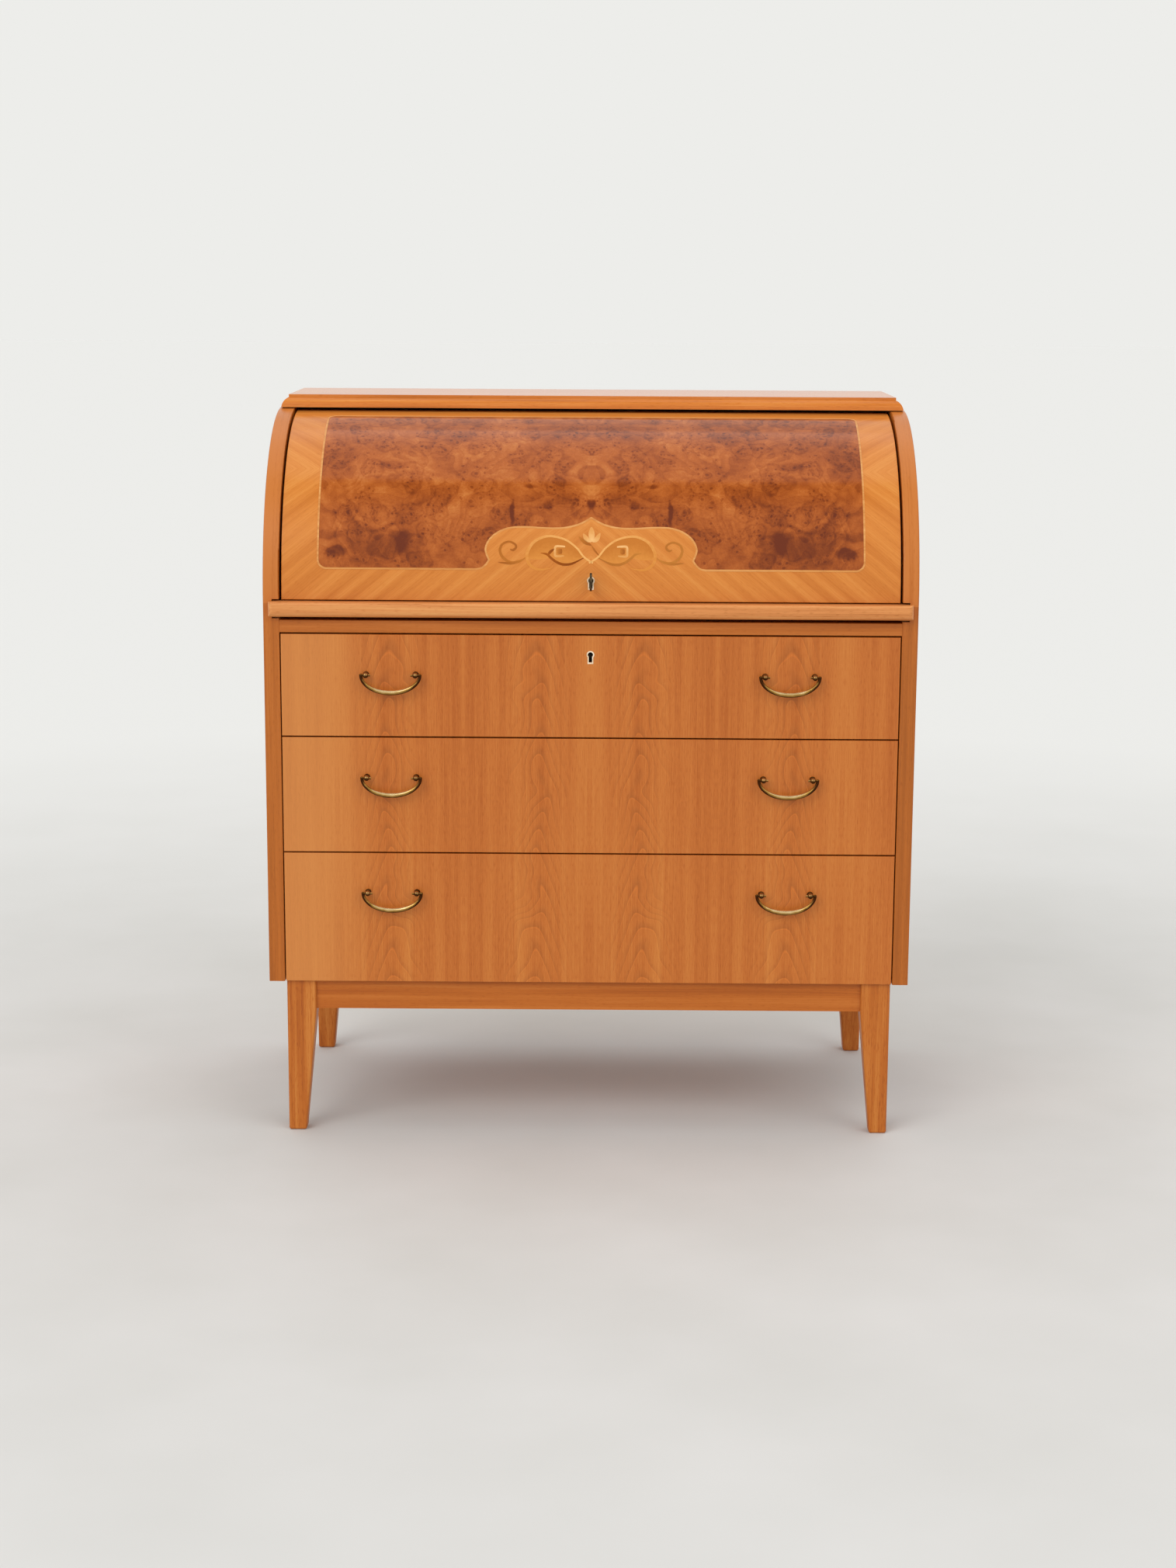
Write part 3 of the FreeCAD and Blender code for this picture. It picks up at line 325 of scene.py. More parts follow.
def sheet(name, points, material):
    """A thin sheet of veneer over a grid of points on the shell, with a map of the grid.

    Each face joins four neighbours. The grid's rim stays sharp, ends that meet are joined, and the
    sheet takes its thickness inwards.
    """
    rows, columns = points.shape[:2]
    index = np.arange(rows * columns).reshape(rows, columns)
    corners = (index[:-1, :-1], index[:-1, 1:], index[1:, 1:], index[1:, :-1])
    faces = np.stack(corners, axis=-1).reshape(-1, 4)
    mesh = bpy.data.meshes.new(name)
    mesh.from_pydata(points.reshape(-1, 3).tolist(), [], faces.tolist())
    u, v = np.meshgrid(np.linspace(0, 1, columns), np.linspace(0, 1, rows))
    spread = np.stack([u.ravel(), v.ravel()], axis=-1)[faces.ravel()]
    mesh.uv_layers.new(name="grid").data.foreach_set("uv", spread.ravel())
    mesh.shade_smooth()
    ends = np.empty(2 * len(mesh.edges), int)
    mesh.edges.foreach_get("vertices", ends)
    row, column = np.divmod(ends.reshape(-1, 2), columns)
    rim = (row % (rows - 1) == 0).all(axis=1) | (column % (columns - 1) == 0).all(axis=1)
    mesh.attributes.new("sharp_edge", "BOOLEAN", "EDGE").data.foreach_set("value", rim)
    mesh.materials.append(material)
    piece = bpy.data.objects.new(name, mesh)
    bpy.context.scene.collection.objects.link(piece)
    piece.modifiers.new("closed_seam", "WELD").merge_threshold = SEAM_MM / 1000
    thick = piece.modifiers.new("veneer", "SOLIDIFY")
    thick.thickness = VENEER_MM / 1000
    thick.offset = -1
    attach(piece, "cylinder")


# Burl shows clusters of small dark eyes, rims round them and swirls between, much darker than the
# veneer about it and under a high gloss. The smallest eyes are drawn coarser than real, so that they
# show. A tone runs from dark, at nothing, to light.
burl, tree = new_material("burl_veneer_book_matched")
position, depth, rise = from_arc(tree)
length = arc_length(tree, depth, rise)
aside = add(tree, "Math", {0: position.outputs["X"]}, operation="ABSOLUTE")
flat = add(tree, "CombineXYZ", {0: aside, 1: length})

# Three ways of bending the flat leaf: the size of the bends, and how far they push.
BENDS_MM = ((110, 22), (26, 8), (28, 4))
bent = []
for bend_mm, push_mm in BENDS_MM:
    swirl = {"Vector": flat, "Scale": 1000 / bend_mm, "Detail": 2}
    swirl = add(tree, "TexNoise", swirl, normalize=False).outputs["Color"]
    push = {0: swirl, 1: (push_mm / 1000, push_mm / 1000, 0.0), 2: flat}
    bent.append(add(tree, "VectorMath", push, operation="MULTIPLY_ADD"))
swept, torn, ruffled = bent

# Mottled patches: where they are read, their size in millimetres, their detail and their share.
MOTTLES = ((swept, 85, 2, 0.16), (swept, 24, 4, 0.1), (ruffled, 7, 3, 0.06), (flat, 2.4, 2, 0.05))
MOTTLE_ROUGHNESS = 0.65
MOTTLE_TWIST = 0.6
MEAN_TONE = 0.545
tone = MEAN_TONE
for where, patch_mm, detail, share in MOTTLES:
    patch = {"Vector": where, "Scale": 1000 / patch_mm, "Detail": detail}
    patch = {**patch, "Roughness": MOTTLE_ROUGHNESS, "Distortion": MOTTLE_TWIST}
    patch = add(tree, "TexNoise", patch, normalize=False)
    tone = add(tree, "Math", {0: patch, 1: share, 2: tone}, operation="MULTIPLY_ADD")

# Swirls: lines of growth, each dark at its start and faded out before the next.
SWIRL_MM = 70
SWIRL_LINES = 9
SWIRL_FADED = 0.7
SWIRL_DARK = 0.1
swirls = add(tree, "TexNoise", {"Vector": swept, "Scale": 1000 / SWIRL_MM, "Detail": 1.5})
swirls = add(tree, "Math", {0: swirls, 1: SWIRL_LINES}, operation="MULTIPLY")
swirls = {"Value": add(tree, "Math", {0: swirls}, operation="FRACT"), "From Max": SWIRL_FADED}
swirls = add(tree, "MapRange", {**swirls, "To Min": SWIRL_DARK, "To Max": 0.0})
tone = add(tree, "Math", {0: tone, 1: swirls}, operation="SUBTRACT")

# Eyes crowd on islands of burl, and in looser groups between them. Each mark is a ring about the
# middle of its cell: where such cells count, the ring's radius, how far off it is still full and
# where it ends, all in shares of a cell, and how dark it is. A ring of no radius is an eye's core.
ISLAND_MM = 36
ISLAND_KEPT = (0.28, 0.38)
ISLAND_SHORE = (0.24, 0.46)
ISLAND_DARK = 0.06
GROUP_MM = 48
GROUP_KEPT = (0.42, 0.54)
EYES_MM = (13, 7.5, 4.6)
EYE_KEPT = (0.36, 0.46)
island = add(tree, "TexVoronoi", {"Vector": torn, "Scale": 1000 / ISLAND_MM}, voronoi_dimensions="2D")
grown = {"Value": island.outputs["Color"], "From Min": ISLAND_KEPT[0], "From Max": ISLAND_KEPT[1]}
grown = add(tree, "MapRange", grown)
herds = {"Value": island, "From Min": ISLAND_SHORE[0], "From Max": ISLAND_SHORE[1]}
herds = {**herds, "To Min": 1.0, "To Max": 0.0}
herds = add(tree, "MapRange", herds, interpolation_type="SMOOTHSTEP")
herds = add(tree, "Math", {0: herds, 1: grown}, operation="MULTIPLY")
tone = add(tree, "Math", {0: herds, 1: -ISLAND_DARK, 2: tone}, operation="MULTIPLY_ADD")
groups = add(tree, "TexNoise", {"Vector": torn, "Scale": 1000 / GROUP_MM, "Detail": 1})
groups = {"Value": groups, "From Min": GROUP_KEPT[0], "From Max": GROUP_KEPT[1]}
groups = add(tree, "MapRange", groups)
large, middling, small = (
    add(tree, "TexVoronoi", {"Vector": ruffled, "Scale": 1000 / cell_mm}, voronoi_dimensions="2D")
    for cell_mm in EYES_MM
)
MARKS = (
    (island, grown, 0.42, 0.0, 0.09, 0.14),
    (large, groups, 0.0, 0.088, 0.23, 0.22),
    (large, groups, 0.36, 0.0, 0.09, 0.07),
    (middling, herds, 0.0, 0.128, 0.33, 0.22),
    (middling, herds, 0.44, 0.0, 0.09, 0.06),
    (small, herds, 0.0, 0.12, 0.31, 0.1),
)
for cells, around, radius, full, end, dark in MARKS:
    kept = {"Value": cells.outputs["Color"], "From Min": EYE_KEPT[0], "From Max": EYE_KEPT[1]}
    kept = add(tree, "Math", {0: add(tree, "MapRange", kept), 1: around}, operation="MULTIPLY")
    off_ring = add(tree, "Math", {0: cells, 1: radius}, operation="SUBTRACT")
    off_ring = add(tree, "Math", {0: off_ring}, operation="ABSOLUTE")
    mark = {"Value": off_ring, "From Min": full, "From Max": end, "To Min": dark, "To Max": 0.0}
    mark = add(tree, "Math", {0: add(tree, "MapRange", mark), 1: kept}, operation="MULTIPLY")
    tone = add(tree, "Math", {0: tone, 1: mark}, operation="SUBTRACT")

# Knots and patches, listed one by one: across, along, half the width and half the height in millimetres,
# the share of that which is full, and how dark, or how light where it is below nothing.
KNOTS = (
    (0, 186, 36, 38, 0.75, -0.1),
    (0, 156, 18, 30, 0.6, -0.08),
    (0, 189, 21, 20, 0.84, 0.2),
    (0, 141, 8, 11, 0.4, 0.5),
    (0, 286, 145, 42, 0.5, 0.12),
    (109, 129, 4, 26, 0.3, 0.4),
    (85, 170, 14, 5, 0.3, 0.3),
    (60, 141, 10, 13, 0.4, 0.2),
    (42, 140, 44, 36, 0.2, 0.08),
    (304, 72, 96, 48, 0.2, 0.22),
    (299, 143, 40, 50, 0.86, 0.13),
    (299, 147, 38, 47, 0.9, -0.13),
    (280, 78, 31, 19, 0.8, 0.13),
    (258, 84, 14, 24, 0.1, 0.24),
    (266, 96, 22, 9, 0.2, 0.2),
    (352, 70, 30, 22, 0.6, -0.12),
    (349, 72, 20, 10, 0.4, 0.32),
    (366, 94, 30, 9, 0.4, 0.22),
    (279, 205, 24, 13, 0.4, 0.16),
    (275, 177, 13, 14, 0.7, 0.12),
)
for across_mm, along_mm, wide_mm, high_mm, full, dark in KNOTS:
    gap = {0: ruffled, 1: (across_mm / 1000, along_mm / 1000, 0.0)}
    gap = add(tree, "VectorMath", gap, operation="SUBTRACT")
    gap = {0: gap, 1: (1000 / wide_mm, 1000 / high_mm, 0.0)}
    gap = add(tree, "VectorMath", gap, operation="MULTIPLY")
    gap = add(tree, "VectorMath", {0: gap}, operation="LENGTH").outputs["Value"]
    knot = {"Value": gap, "From Min": full, "From Max": 1.0, "To Min": dark, "To Max": 0.0}
    knot = add(tree, "MapRange", knot, interpolation_type="SMOOTHSTEP")
    tone = add(tree, "Math", {0: tone, 1: knot}, operation="SUBTRACT")

# The right-hand leaf darkens towards its outer end.
RIGHT_LEAF_DARKER = 0.09
right = {"Value": position.outputs["X"], "From Max": PANEL_HALF_MM / 1000, "To Max": RIGHT_LEAF_DARKER}
tone = add(tree, "Math", {0: tone, 1: add(tree, "MapRange", right)}, operation="SUBTRACT")
BURL = ((0.0, "#682808"), (0.8, "#C87A3A"), (0.2, "#80390D"), (0.36, "#9A4A15"), (0.54, "#B05C21"))
BURL_ROUGHNESS = 0.14
BURL_SHINE = 0.28
lacquer(tree, add(tree, "ValToRGB", {"Fac": tone}, stops=BURL), tone, BURL_ROUGHNESS, BURL_SHINE)

# Near its ends the panel's head and foot draw in along a quarter circle, which rounds the corners.
across = PANEL_HALF_MM * np.linspace(-1, 1, PANEL_COLUMNS)
beyond = (np.abs(across) - PANEL_HALF_MM) / PANEL_CORNER_MM + 1
corner = PANEL_CORNER_MM * (1 - np.sqrt(1 - np.clip(beyond, 0, 1) ** 2))
up = np.linspace(0, 1, PANEL_ROWS)[:, None]
along = PANEL_LOW_MM + corner + (PANEL_HIGH_MM - PANEL_LOW_MM - 2 * corner) * up
sheet("burl_panel", on_shell(across, along, PANEL_LIFT_MM), burl)

# The cartouche: a shaped field of golden veneer that stands up into the burl above the keyhole.
# It is let in flush, and its grain runs on from the veneer below, so that only the outline shows.
CARTOUCHE_LOW_MM = 38.0
CARTOUCHE_ROWS = 33
CARTOUCHE_LIFT_MM = 0.3
FOOT_LIFT_MM = -0.2
FOOT_CLEAR_MM = 2.0
NECK = [(-157, 48), (-150, 49.6), (-144, 54.6), (-140, 60.8)]
LOBE = (
    [(-140, 60.8), (-143.5, 69), (-144.8, 76.5), (-141.5, 86), (-134, 95), (-122, 102.5), (-107, 106.5)]
    + [(-86, 107), (-62, 105.6), (-41, 105.8), (-27, 108.3), (-14, 112.7), (0, 121)]
)


def flow(points, steps=10):
    """A smooth line through the points.

    Each span is a cubic that leaves each of its ends along the line between that end's neighbours.
    Before the first point and after the last, the line is taken to go on by one more even step.
    """
    line = np.asarray(points, float)
    line = np.vstack([2 * line[0] - line[1], line, 2 * line[-1] - line[-2]])
    share = np.linspace(0, 1, steps, endpoint=False)[None, :, None]
    before, start, end, after = (line[at : len(line) - 3 + at, None] for at in range(4))
    spans = 2 * start + (end - before) * share
    spans = spans + (2 * before - 5 * start + 4 * end - after) * share**2
    spans = spans + (3 * start - before - 3 * end + after) * share**3
    return np.vstack([spans.reshape(-1, 2) / 2, line[-2]])


def mirrored(path):
    """A path of the left half, followed by the same path on the right, walked back."""
    other = path[::-1] * (-1, 1)
    return np.vstack([path, other[1:]])


# Each column of the field runs straight from the foot to the outline. The foot dips under the
# veneer below, and the rest lies over the burl.
outline = np.vstack([flow(NECK), flow(LOBE)[1:]])
cartouche = mirrored(outline)
foot = np.linspace(cartouche[0, 0], cartouche[-1, 0], len(cartouche))
foot = np.stack([foot, np.full(len(cartouche), CARTOUCHE_LOW_MM)], axis=-1)
field = foot + (cartouche - foot) * np.linspace(0, 1, CARTOUCHE_ROWS)[:, None, None]
climb = (CARTOUCHE_LOW_MM, PANEL_LOW_MM - FOOT_CLEAR_MM)
lift = np.interp(field[..., 1], climb, (FOOT_LIFT_MM, CARTOUCHE_LIFT_MM))
sheet("cartouche", on_shell(field[..., 0], field[..., 1], lift), slanted)

# The stringing: a thin pale strip let in all round the burl, over the cartouche's outline as well.
# It is cut from close-grained maple, so it shows as one clean light line.
STRING_MM = 2.5
STRING_LIFT_MM = 0.45
STRING_STEP_MM = 8
STRING_CLEAR_MM = 3
RIBBON_ROWS = 4
ARC_POINTS = 9
MAPLE = ("#C47C38", "#E0A460", "#D4904A")


def ribbon(path, widths, lift):
    """A strip on the shell along a path, as wide across it as stated at each of its points.

    Each point of the path, plus a share of the width from minus to plus one half, square to the way
    that the path runs there.
    """
    run = np.gradient(path, axis=0)
    side = np.stack([-run[:, 1], run[:, 0]], axis=-1)
    side = side / np.linalg.norm(side, axis=1, keepdims=True)
    across = np.linspace(-0.5, 0.5, RIBBON_ROWS)[:, None, None]
    strip = path + side * (across * np.broadcast_to(widths, len(path))[:, None])
    return on_shell(strip[..., 0], strip[..., 1], lift)


def arc(centre, start_deg, end_deg, radius):
    """Points of an arc at even angles: the centre plus the radius times the cosine and the sine."""
    turn = np.radians(np.linspace(start_deg, end_deg, ARC_POINTS))
    return np.stack([centre[0] + radius * np.cos(turn), centre[1] + radius * np.sin(turn)], axis=-1)


# The strip goes once round from the middle of the head. Points are added on its long straight runs,
# clear of those that it has, so that it follows the shell's curve.
inset_x = PANEL_HALF_MM - PANEL_CORNER_MM
upper = arc((-inset_x, PANEL_HIGH_MM - PANEL_CORNER_MM), 90, 180, PANEL_CORNER_MM)
lower = arc((-inset_x, PANEL_LOW_MM + PANEL_CORNER_MM), 180, 270, PANEL_CORNER_MM)
loop = mirrored(np.vstack([[(0.0, PANEL_HIGH_MM)], upper, lower, outline]))
runs = np.concatenate([[0], np.cumsum(np.linalg.norm(np.diff(loop, axis=0), axis=1))])
between = np.arange(0, runs[-1], STRING_STEP_MM)
between = between[np.abs(between[:, None] - runs).min(axis=1) > STRING_CLEAR_MM]
even = np.sort(np.concatenate([runs, between]))
loop = np.stack([np.interp(even, runs, loop[:, at]) for at in (0, 1)], axis=-1)
maple = timber("maple_stringing_let_in", X, MAPLE, streak_mm=5, roughness=0.34)
sheet("stringing", ribbon(loop, STRING_MM, STRING_LIFT_MM), maple)

# The inlay on the cartouche: two crossing scrolls and a tulip in pale wood, curls and leaves in
# brown wood, two square flowers, and a darker ground inside the scrolls. The pieces were scorched
# in hot sand, so each darkens to one end.
INLAY_LIFT_MM = 0.5
UPPER_LIFT_MM = 0.55
SCORCH_FROM = 0.3
SCORCH_FULL = 1.0
FLECK_MM = 4
FLECK_SHARE = 0.5
INLAY_ROUGHNESS = 0.34
INLAY_SHINE = 0.12


def scorched(name, pale, burnt, way="X"):
    """Thin inlay wood that darkens along its length, or across it, with a faint fleck.

    The shade is the share of the way, plus a part of fine noise.
    """
    material, tree = new_material(name)
    place = add(tree, "TexCoord")
    share = add(tree, "SeparateXYZ", {0: place.outputs["UV"]}).outputs[way]
    flecks = {"Vector": place.outputs["Object"], "Scale": 1000 / FLECK_MM, "Detail": 2}
    flecks = add(tree, "TexNoise", flecks)
    shade = add(tree, "Math", {0: flecks, 1: FLECK_SHARE, 2: share}, operation="MULTIPLY_ADD")
    colour = add(tree, "ValToRGB", {"Fac": shade}, stops=((SCORCH_FROM, pale), (SCORCH_FULL, burnt)))
    lacquer(tree, colour, flecks, INLAY_ROUGHNESS, INLAY_SHINE)
    return material


# Scorched wood looks rounded, as if shaded by hand, though it is flat. The woods differ in depth.
pale = scorched("pale_inlay_scorched_in_sand", "#EAAE64", "#D4883A")
petal = scorched("petal_inlay_scorched_in_sand", "#EEB876", "#DC9A52")
brown = scorched("brown_inlay_scorched_in_sand", "#A65812", "#8A440A")
tan = scorched("tan_inlay_scorched_in_sand", "#BC7228", "#A65E1E")
amber = scorched("amber_inlay_scorched_in_sand", "#C07A30", "#B26C28")
ground = scorched("ground_inlay_scorched_in_sand", "#D68A3C", "#C2752C", "Y")

# The left half's lines, and how wide each strip is, from its start to its end.
SCROLL = (
    [(2.6, 57), (-9.5, 65.2), (-19.5, 77.6), (-32.8, 88), (-46.9, 93), (-60.9, 94), (-75, 88.5)]
    + [(-83.7, 79.5), (-88, 67.6), (-85.4, 56.4), (-77.8, 49.7), (-67.9, 47.6), (-54.5, 50)]
)
CURL = (
    [(-90, 64), (-99, 58.4), (-111, 57.7), (-121.2, 64.6), (-125, 74), (-121.8, 82.4), (-113, 86.1)]
    + [(-105, 83), (-103, 78.2), (-107, 74.4), (-111, 75.5)]
)
LEAF_FOOT = [(-46.6, 57.9), (-37.2, 54.9), (-25.5, 56.4), (-10.3, 64)]
LEAF = [(-68.9, 70.7), (-60.7, 68.9), (-54.8, 63.7)] + LEAF_FOOT
FLOWER = [(-35.6, 79.6), (-41, 80), (-48.6, 79.6), (-49.6, 73), (-48.8, 66.8), (-43, 66.2), (-37.2, 66.8)]
SCROLL_WIDE_MM = (2.4, 2.6, 2.6, 2.8, 3.0, 3.4, 3.8, 4.2, 4.4, 4.2, 3.8, 3.0, 0.8)
CURL_WIDE_MM = (1.0, 2.8, 3.6, 3.8, 3.4, 3.0, 2.8, 2.8, 3.0, 3.2, 1.2)
LEAF_WIDE_MM = (0.8, 3.2, 3.2, 3.4, 3.6, 3.0, 1.0)
FLOWER_WIDE_MM = (2.0, 2.8, 3.2, 3.0, 3.2, 2.8, 1.8)

# The ground fills the scroll's upper bow, and its foot dips under the leaf.
GROUND_HEAD = SCROLL[8:0:-1]
GROUND_FOOT = [(-87, 63), (-78, 60.5), (-68, 60.5), (-57, 62)] + LEAF_FOOT
GROUND_ROWS = 25
GROUND_DIP = (0, 0.09)
GROUND_LIFT_MM = (0.2, 0.4)
for sign, hand, curl_wood, leaf_wood in ((1, "left", tan, brown), (-1, "right", amber, amber)):
    for name, points, widths, lift, wood in (
        ("scroll", SCROLL, SCROLL_WIDE_MM, INLAY_LIFT_MM, pale),
        ("curl", CURL, CURL_WIDE_MM, INLAY_LIFT_MM, curl_wood),
        ("leaf", LEAF, LEAF_WIDE_MM, INLAY_LIFT_MM, leaf_wood),
        ("flower", FLOWER, FLOWER_WIDE_MM, UPPER_LIFT_MM, petal),
    ):
        path = flow(np.array(points) * (sign, 1))
        wide = np.interp(np.linspace(0, 1, len(path)), np.linspace(0, 1, len(widths)), widths)
        sheet(f"{name}_{hand}", ribbon(path, wide, lift), wood)
    head, foot = (flow(np.array(points) * (sign, 1))[::sign] for points in (GROUND_HEAD, GROUND_FOOT))
    up = np.linspace(0, 1, GROUND_ROWS)[:, None]
    field = foot + (head - foot) * up[..., None]
    lift = np.interp(up, GROUND_DIP, GROUND_LIFT_MM)
    sheet(f"scroll_ground_{hand}", on_shell(field[..., 0], field[..., 1], lift), ground)

# Petals and leaves: their lines, their greatest width and their wood. The width swells and falls as a
# half wave of a sine, made a little fuller.
PETALS = (
    ("tulip_middle", [(1, 86.5), (0.6, 97), (0.4, 107.5)], 8.5, petal),
    ("tulip_left", [(0, 86.5), (-6, 90.5), (-11, 98)], 6.5, petal),
    ("tulip_right", [(2, 86.5), (7.6, 90.5), (12.4, 99)], 6.5, petal),
    ("tulip_leaf", [(-17, 94), (-9, 86.4), (0.5, 81.6)], 5.0, tan),
    ("tulip_stem", [(0, 82.4), (4.8, 74.7), (11, 67.4)], 2.4, tan),
    ("leaf_tip_left", [(-59, 67), (-56, 72), (-50.5, 76.5)], 3.8, brown),
    ("curl_tail_left", [(-91, 62.5), (-108, 56.4), (-127, 57.4)], 3.6, tan),
    ("curl_tail_right", [(91, 62.5), (108, 56.4), (127, 57.4)], 3.4, amber),
)
PETAL_ENDS = (0.04, 0.96)
PETAL_FULLNESS = 0.8
for name, points, widest, wood in PETALS:
    path = flow(points)
    swell = widest * np.sin(np.pi * np.linspace(*PETAL_ENDS, len(path))) ** PETAL_FULLNESS
    sheet(name, ribbon(path, swell, UPPER_LIFT_MM), wood)

# A flower's heart is a square whose sides draw in towards its corners.
HEART_ACROSS_MM = 43
HEART_ALONG_MM = 73
HEART_MM = 3.4
HEART_TALL = 1.08
HEART_DRAWN_IN = 0.16
HEART_POINTS = 17
steps = np.linspace(-1, 1, HEART_POINTS)
u, v = np.meshgrid(steps, steps)
for middle, hand in ((-HEART_ACROSS_MM, "left"), (HEART_ACROSS_MM, "right")):
    across = middle + HEART_MM * u * (1 - HEART_DRAWN_IN * v**2)
    along = HEART_ALONG_MM + HEART_MM * v * (HEART_TALL - HEART_DRAWN_IN * u**2)
    sheet(f"flower_heart_{hand}", on_shell(across, along, UPPER_LIFT_MM), tan)

# The keyholes: each has a rim of bone let in round it, filed smooth and yellowed unevenly with age.
# The key stands in the cylinder's. It is forged iron, dark from handling and a little brighter where
# fingers rub it.
BONE = ((0.3, "#D8B88C"), (0.6, "#F4E0C4"))
BONE_CLOUD_MM = 5
BONE_ROUGHNESS = 0.36
bone, tree = new_material("bone_escutcheon_filed")
age = {"Vector": add(tree, "TexCoord").outputs["Object"], "Scale": 1000 / BONE_CLOUD_MM, "Detail": 3}
age = add(tree, "TexNoise", age)
lacquer(tree, add(tree, "ValToRGB", {"Fac": age}, stops=BONE), age, BONE_ROUGHNESS)
dress(bone, "cylinder_escutcheon", "drawer_1_escutcheon")
iron = metal("forged_iron_handled", ("#2A2018", "#6A5A44"), patch_mm=6, roughness=0.34)
dress(iron, "cylinder_key")

# The drawers: flush fronts in sliced veneer, four leaves to a row, opened like a book, so that the
# arched figure stands in pairs about the middle. The boxes are pale birch with their bottoms let into
# grooves, and hang on the case's beech runners by grooves in their walls.
LEAF_WIDTH_MM = 175.5
ARCH_FROM_JOINT_MM = 71.0
ARCH_ROUND_MM = 9.0
ARCH_STEEPNESS = 3.4
ARCH_STEP_MM = 36.0
ARCH_CORE_MM = 9.2
ARCH_REACH_MM = 46.0
ARCH_STRENGTH = (0.44, 0.06)
ARCHES_END_MM = (320, 370)
ARCHES = ((0.0, "#BCBCBC"), (1.0, "#C0C0C0"), (0.06, "#DCDCDC"), (0.14, "#9A9A9A"), (0.6, "#C0C0C0"))
DRIFT_MM = 75
DRIFT_PUSH_MM = 16
DRAWER = ("#AC581A", "#CE8039", "#C06C2A")
DRAWER_STOPS = (0.2, 0.8, 0.48)
DRAWER_STREAK_MM = 26
DRAWER_ROUGHNESS = 0.36
STREAK_START_MM = 800.0
DASH_MM = (14, 1.2)
DASH_SHARE = 0.11
LEFT_END_PALE = "#DA9450"
LEFT_END_FADES_MM = (-400, -280)
LEFT_END_SHARE = 0.45
# Sliced veneer shows soft upright streaks with short dashes, which are drawn coarser than real so that
# they show. Arches stand one above the other where the cut ran through the rings, and the colour turns
# paler towards the left-hand end.
drawer_veneer, tree = new_material("sliced_veneer_book_matched")
position = add(tree, "SeparateXYZ", {0: add(tree, "TexCoord").outputs["Object"]})
folded = {0: position.outputs["X"], 1: LEAF_WIDTH_MM / 1000}
folded = add(tree, "Math", folded, operation="PINGPONG")
place = add(tree, "CombineXYZ", {0: position.outputs["Z"], 1: folded, 2: position.outputs["Y"]})
shifted = add(tree, "VectorMath", {0: place, 1: (0.0, STREAK_START_MM / 1000, 0.0)}, operation="ADD")
light = grain(tree, shifted, DRAWER_STREAK_MM)
dashes = {0: place, 1: (1000 / DASH_MM[0], 1000 / DASH_MM[1], 0.0)}
dashes = add(tree, "VectorMath", dashes, operation="MULTIPLY")
dashes = add(tree, "TexNoise", {"Vector": dashes, "Scale": 1, "Detail": 2}, normalize=False)
light = add(tree, "Math", {0: dashes, 1: DASH_SHARE, 2: light}, operation="MULTIPLY_ADD")

# An arch is a level line of the height plus a steep rounded bow about an upright line on the leaf.
drift = {"Vector": place, "Scale": 1000 / DRIFT_MM, "Detail": 1}
drift = add(tree, "TexNoise", drift, normalize=False)
aside = add(tree, "Math", {0: folded, 1: ARCH_FROM_JOINT_MM / 1000}, operation="SUBTRACT")
aside = add(tree, "Math", {0: drift, 1: DRIFT_PUSH_MM / 1000, 2: aside}, operation="MULTIPLY_ADD")
bow = add(tree, "CombineXYZ", {0: aside, 1: ARCH_ROUND_MM / 1000})
bow = add(tree, "VectorMath", {0: bow}, operation="LENGTH").outputs["Value"]
level = {0: bow, 1: ARCH_STEEPNESS, 2: position.outputs["Z"]}
level = add(tree, "Math", level, operation="MULTIPLY_ADD")
level = add(tree, "Math", {0: level, 1: 1000 / ARCH_STEP_MM, 2: drift}, operation="MULTIPLY_ADD")
ring = add(tree, "Math", {0: level}, operation="FRACT")
arch = add(tree, "ValToRGB", {"Fac": ring}, stops=ARCHES)
near = {"Value": bow, "From Min": ARCH_CORE_MM / 1000, "From Max": ARCH_REACH_MM / 1000}
near = add(tree, "MapRange", {**near, "To Min": ARCH_STRENGTH[0], "To Max": ARCH_STRENGTH[1]})
inner = {"Value": add(tree, "Math", {0: position.outputs["X"]}, operation="ABSOLUTE")}
inner = {**inner, "From Min": ARCHES_END_MM[0] / 1000, "From Max": ARCHES_END_MM[1] / 1000}
inner = add(tree, "MapRange", {**inner, "To Min": 1.0, "To Max": 0.0})
near = add(tree, "Math", {0: near, 1: inner}, operation="MULTIPLY")
colour = add(tree, "ValToRGB", {"Fac": light}, stops=list(zip(DRAWER_STOPS, DRAWER)))
paler_end = {"From Min": LEFT_END_FADES_MM[0] / 1000, "From Max": LEFT_END_FADES_MM[1] / 1000}
paler_end = {**paler_end, "Value": position.outputs["X"], "To Min": LEFT_END_SHARE, "To Max": 0.0}
paler_end = add(tree, "MapRange", paler_end, interpolation_type="SMOOTHSTEP")
colour = {0: paler_end, 6: colour, 7: linear(LEFT_END_PALE)}
colour = add(tree, "Mix", colour, data_type="RGBA").outputs[2]
figure = {0: near, 6: colour, 7: arch}
figure = add(tree, "Mix", figure, data_type="RGBA", blend_type="OVERLAY").outputs[2]
lacquer(tree, figure, light, DRAWER_ROUGHNESS)
dress(drawer_veneer, "drawer_1_front", "drawer_2_front", "drawer_3_front")

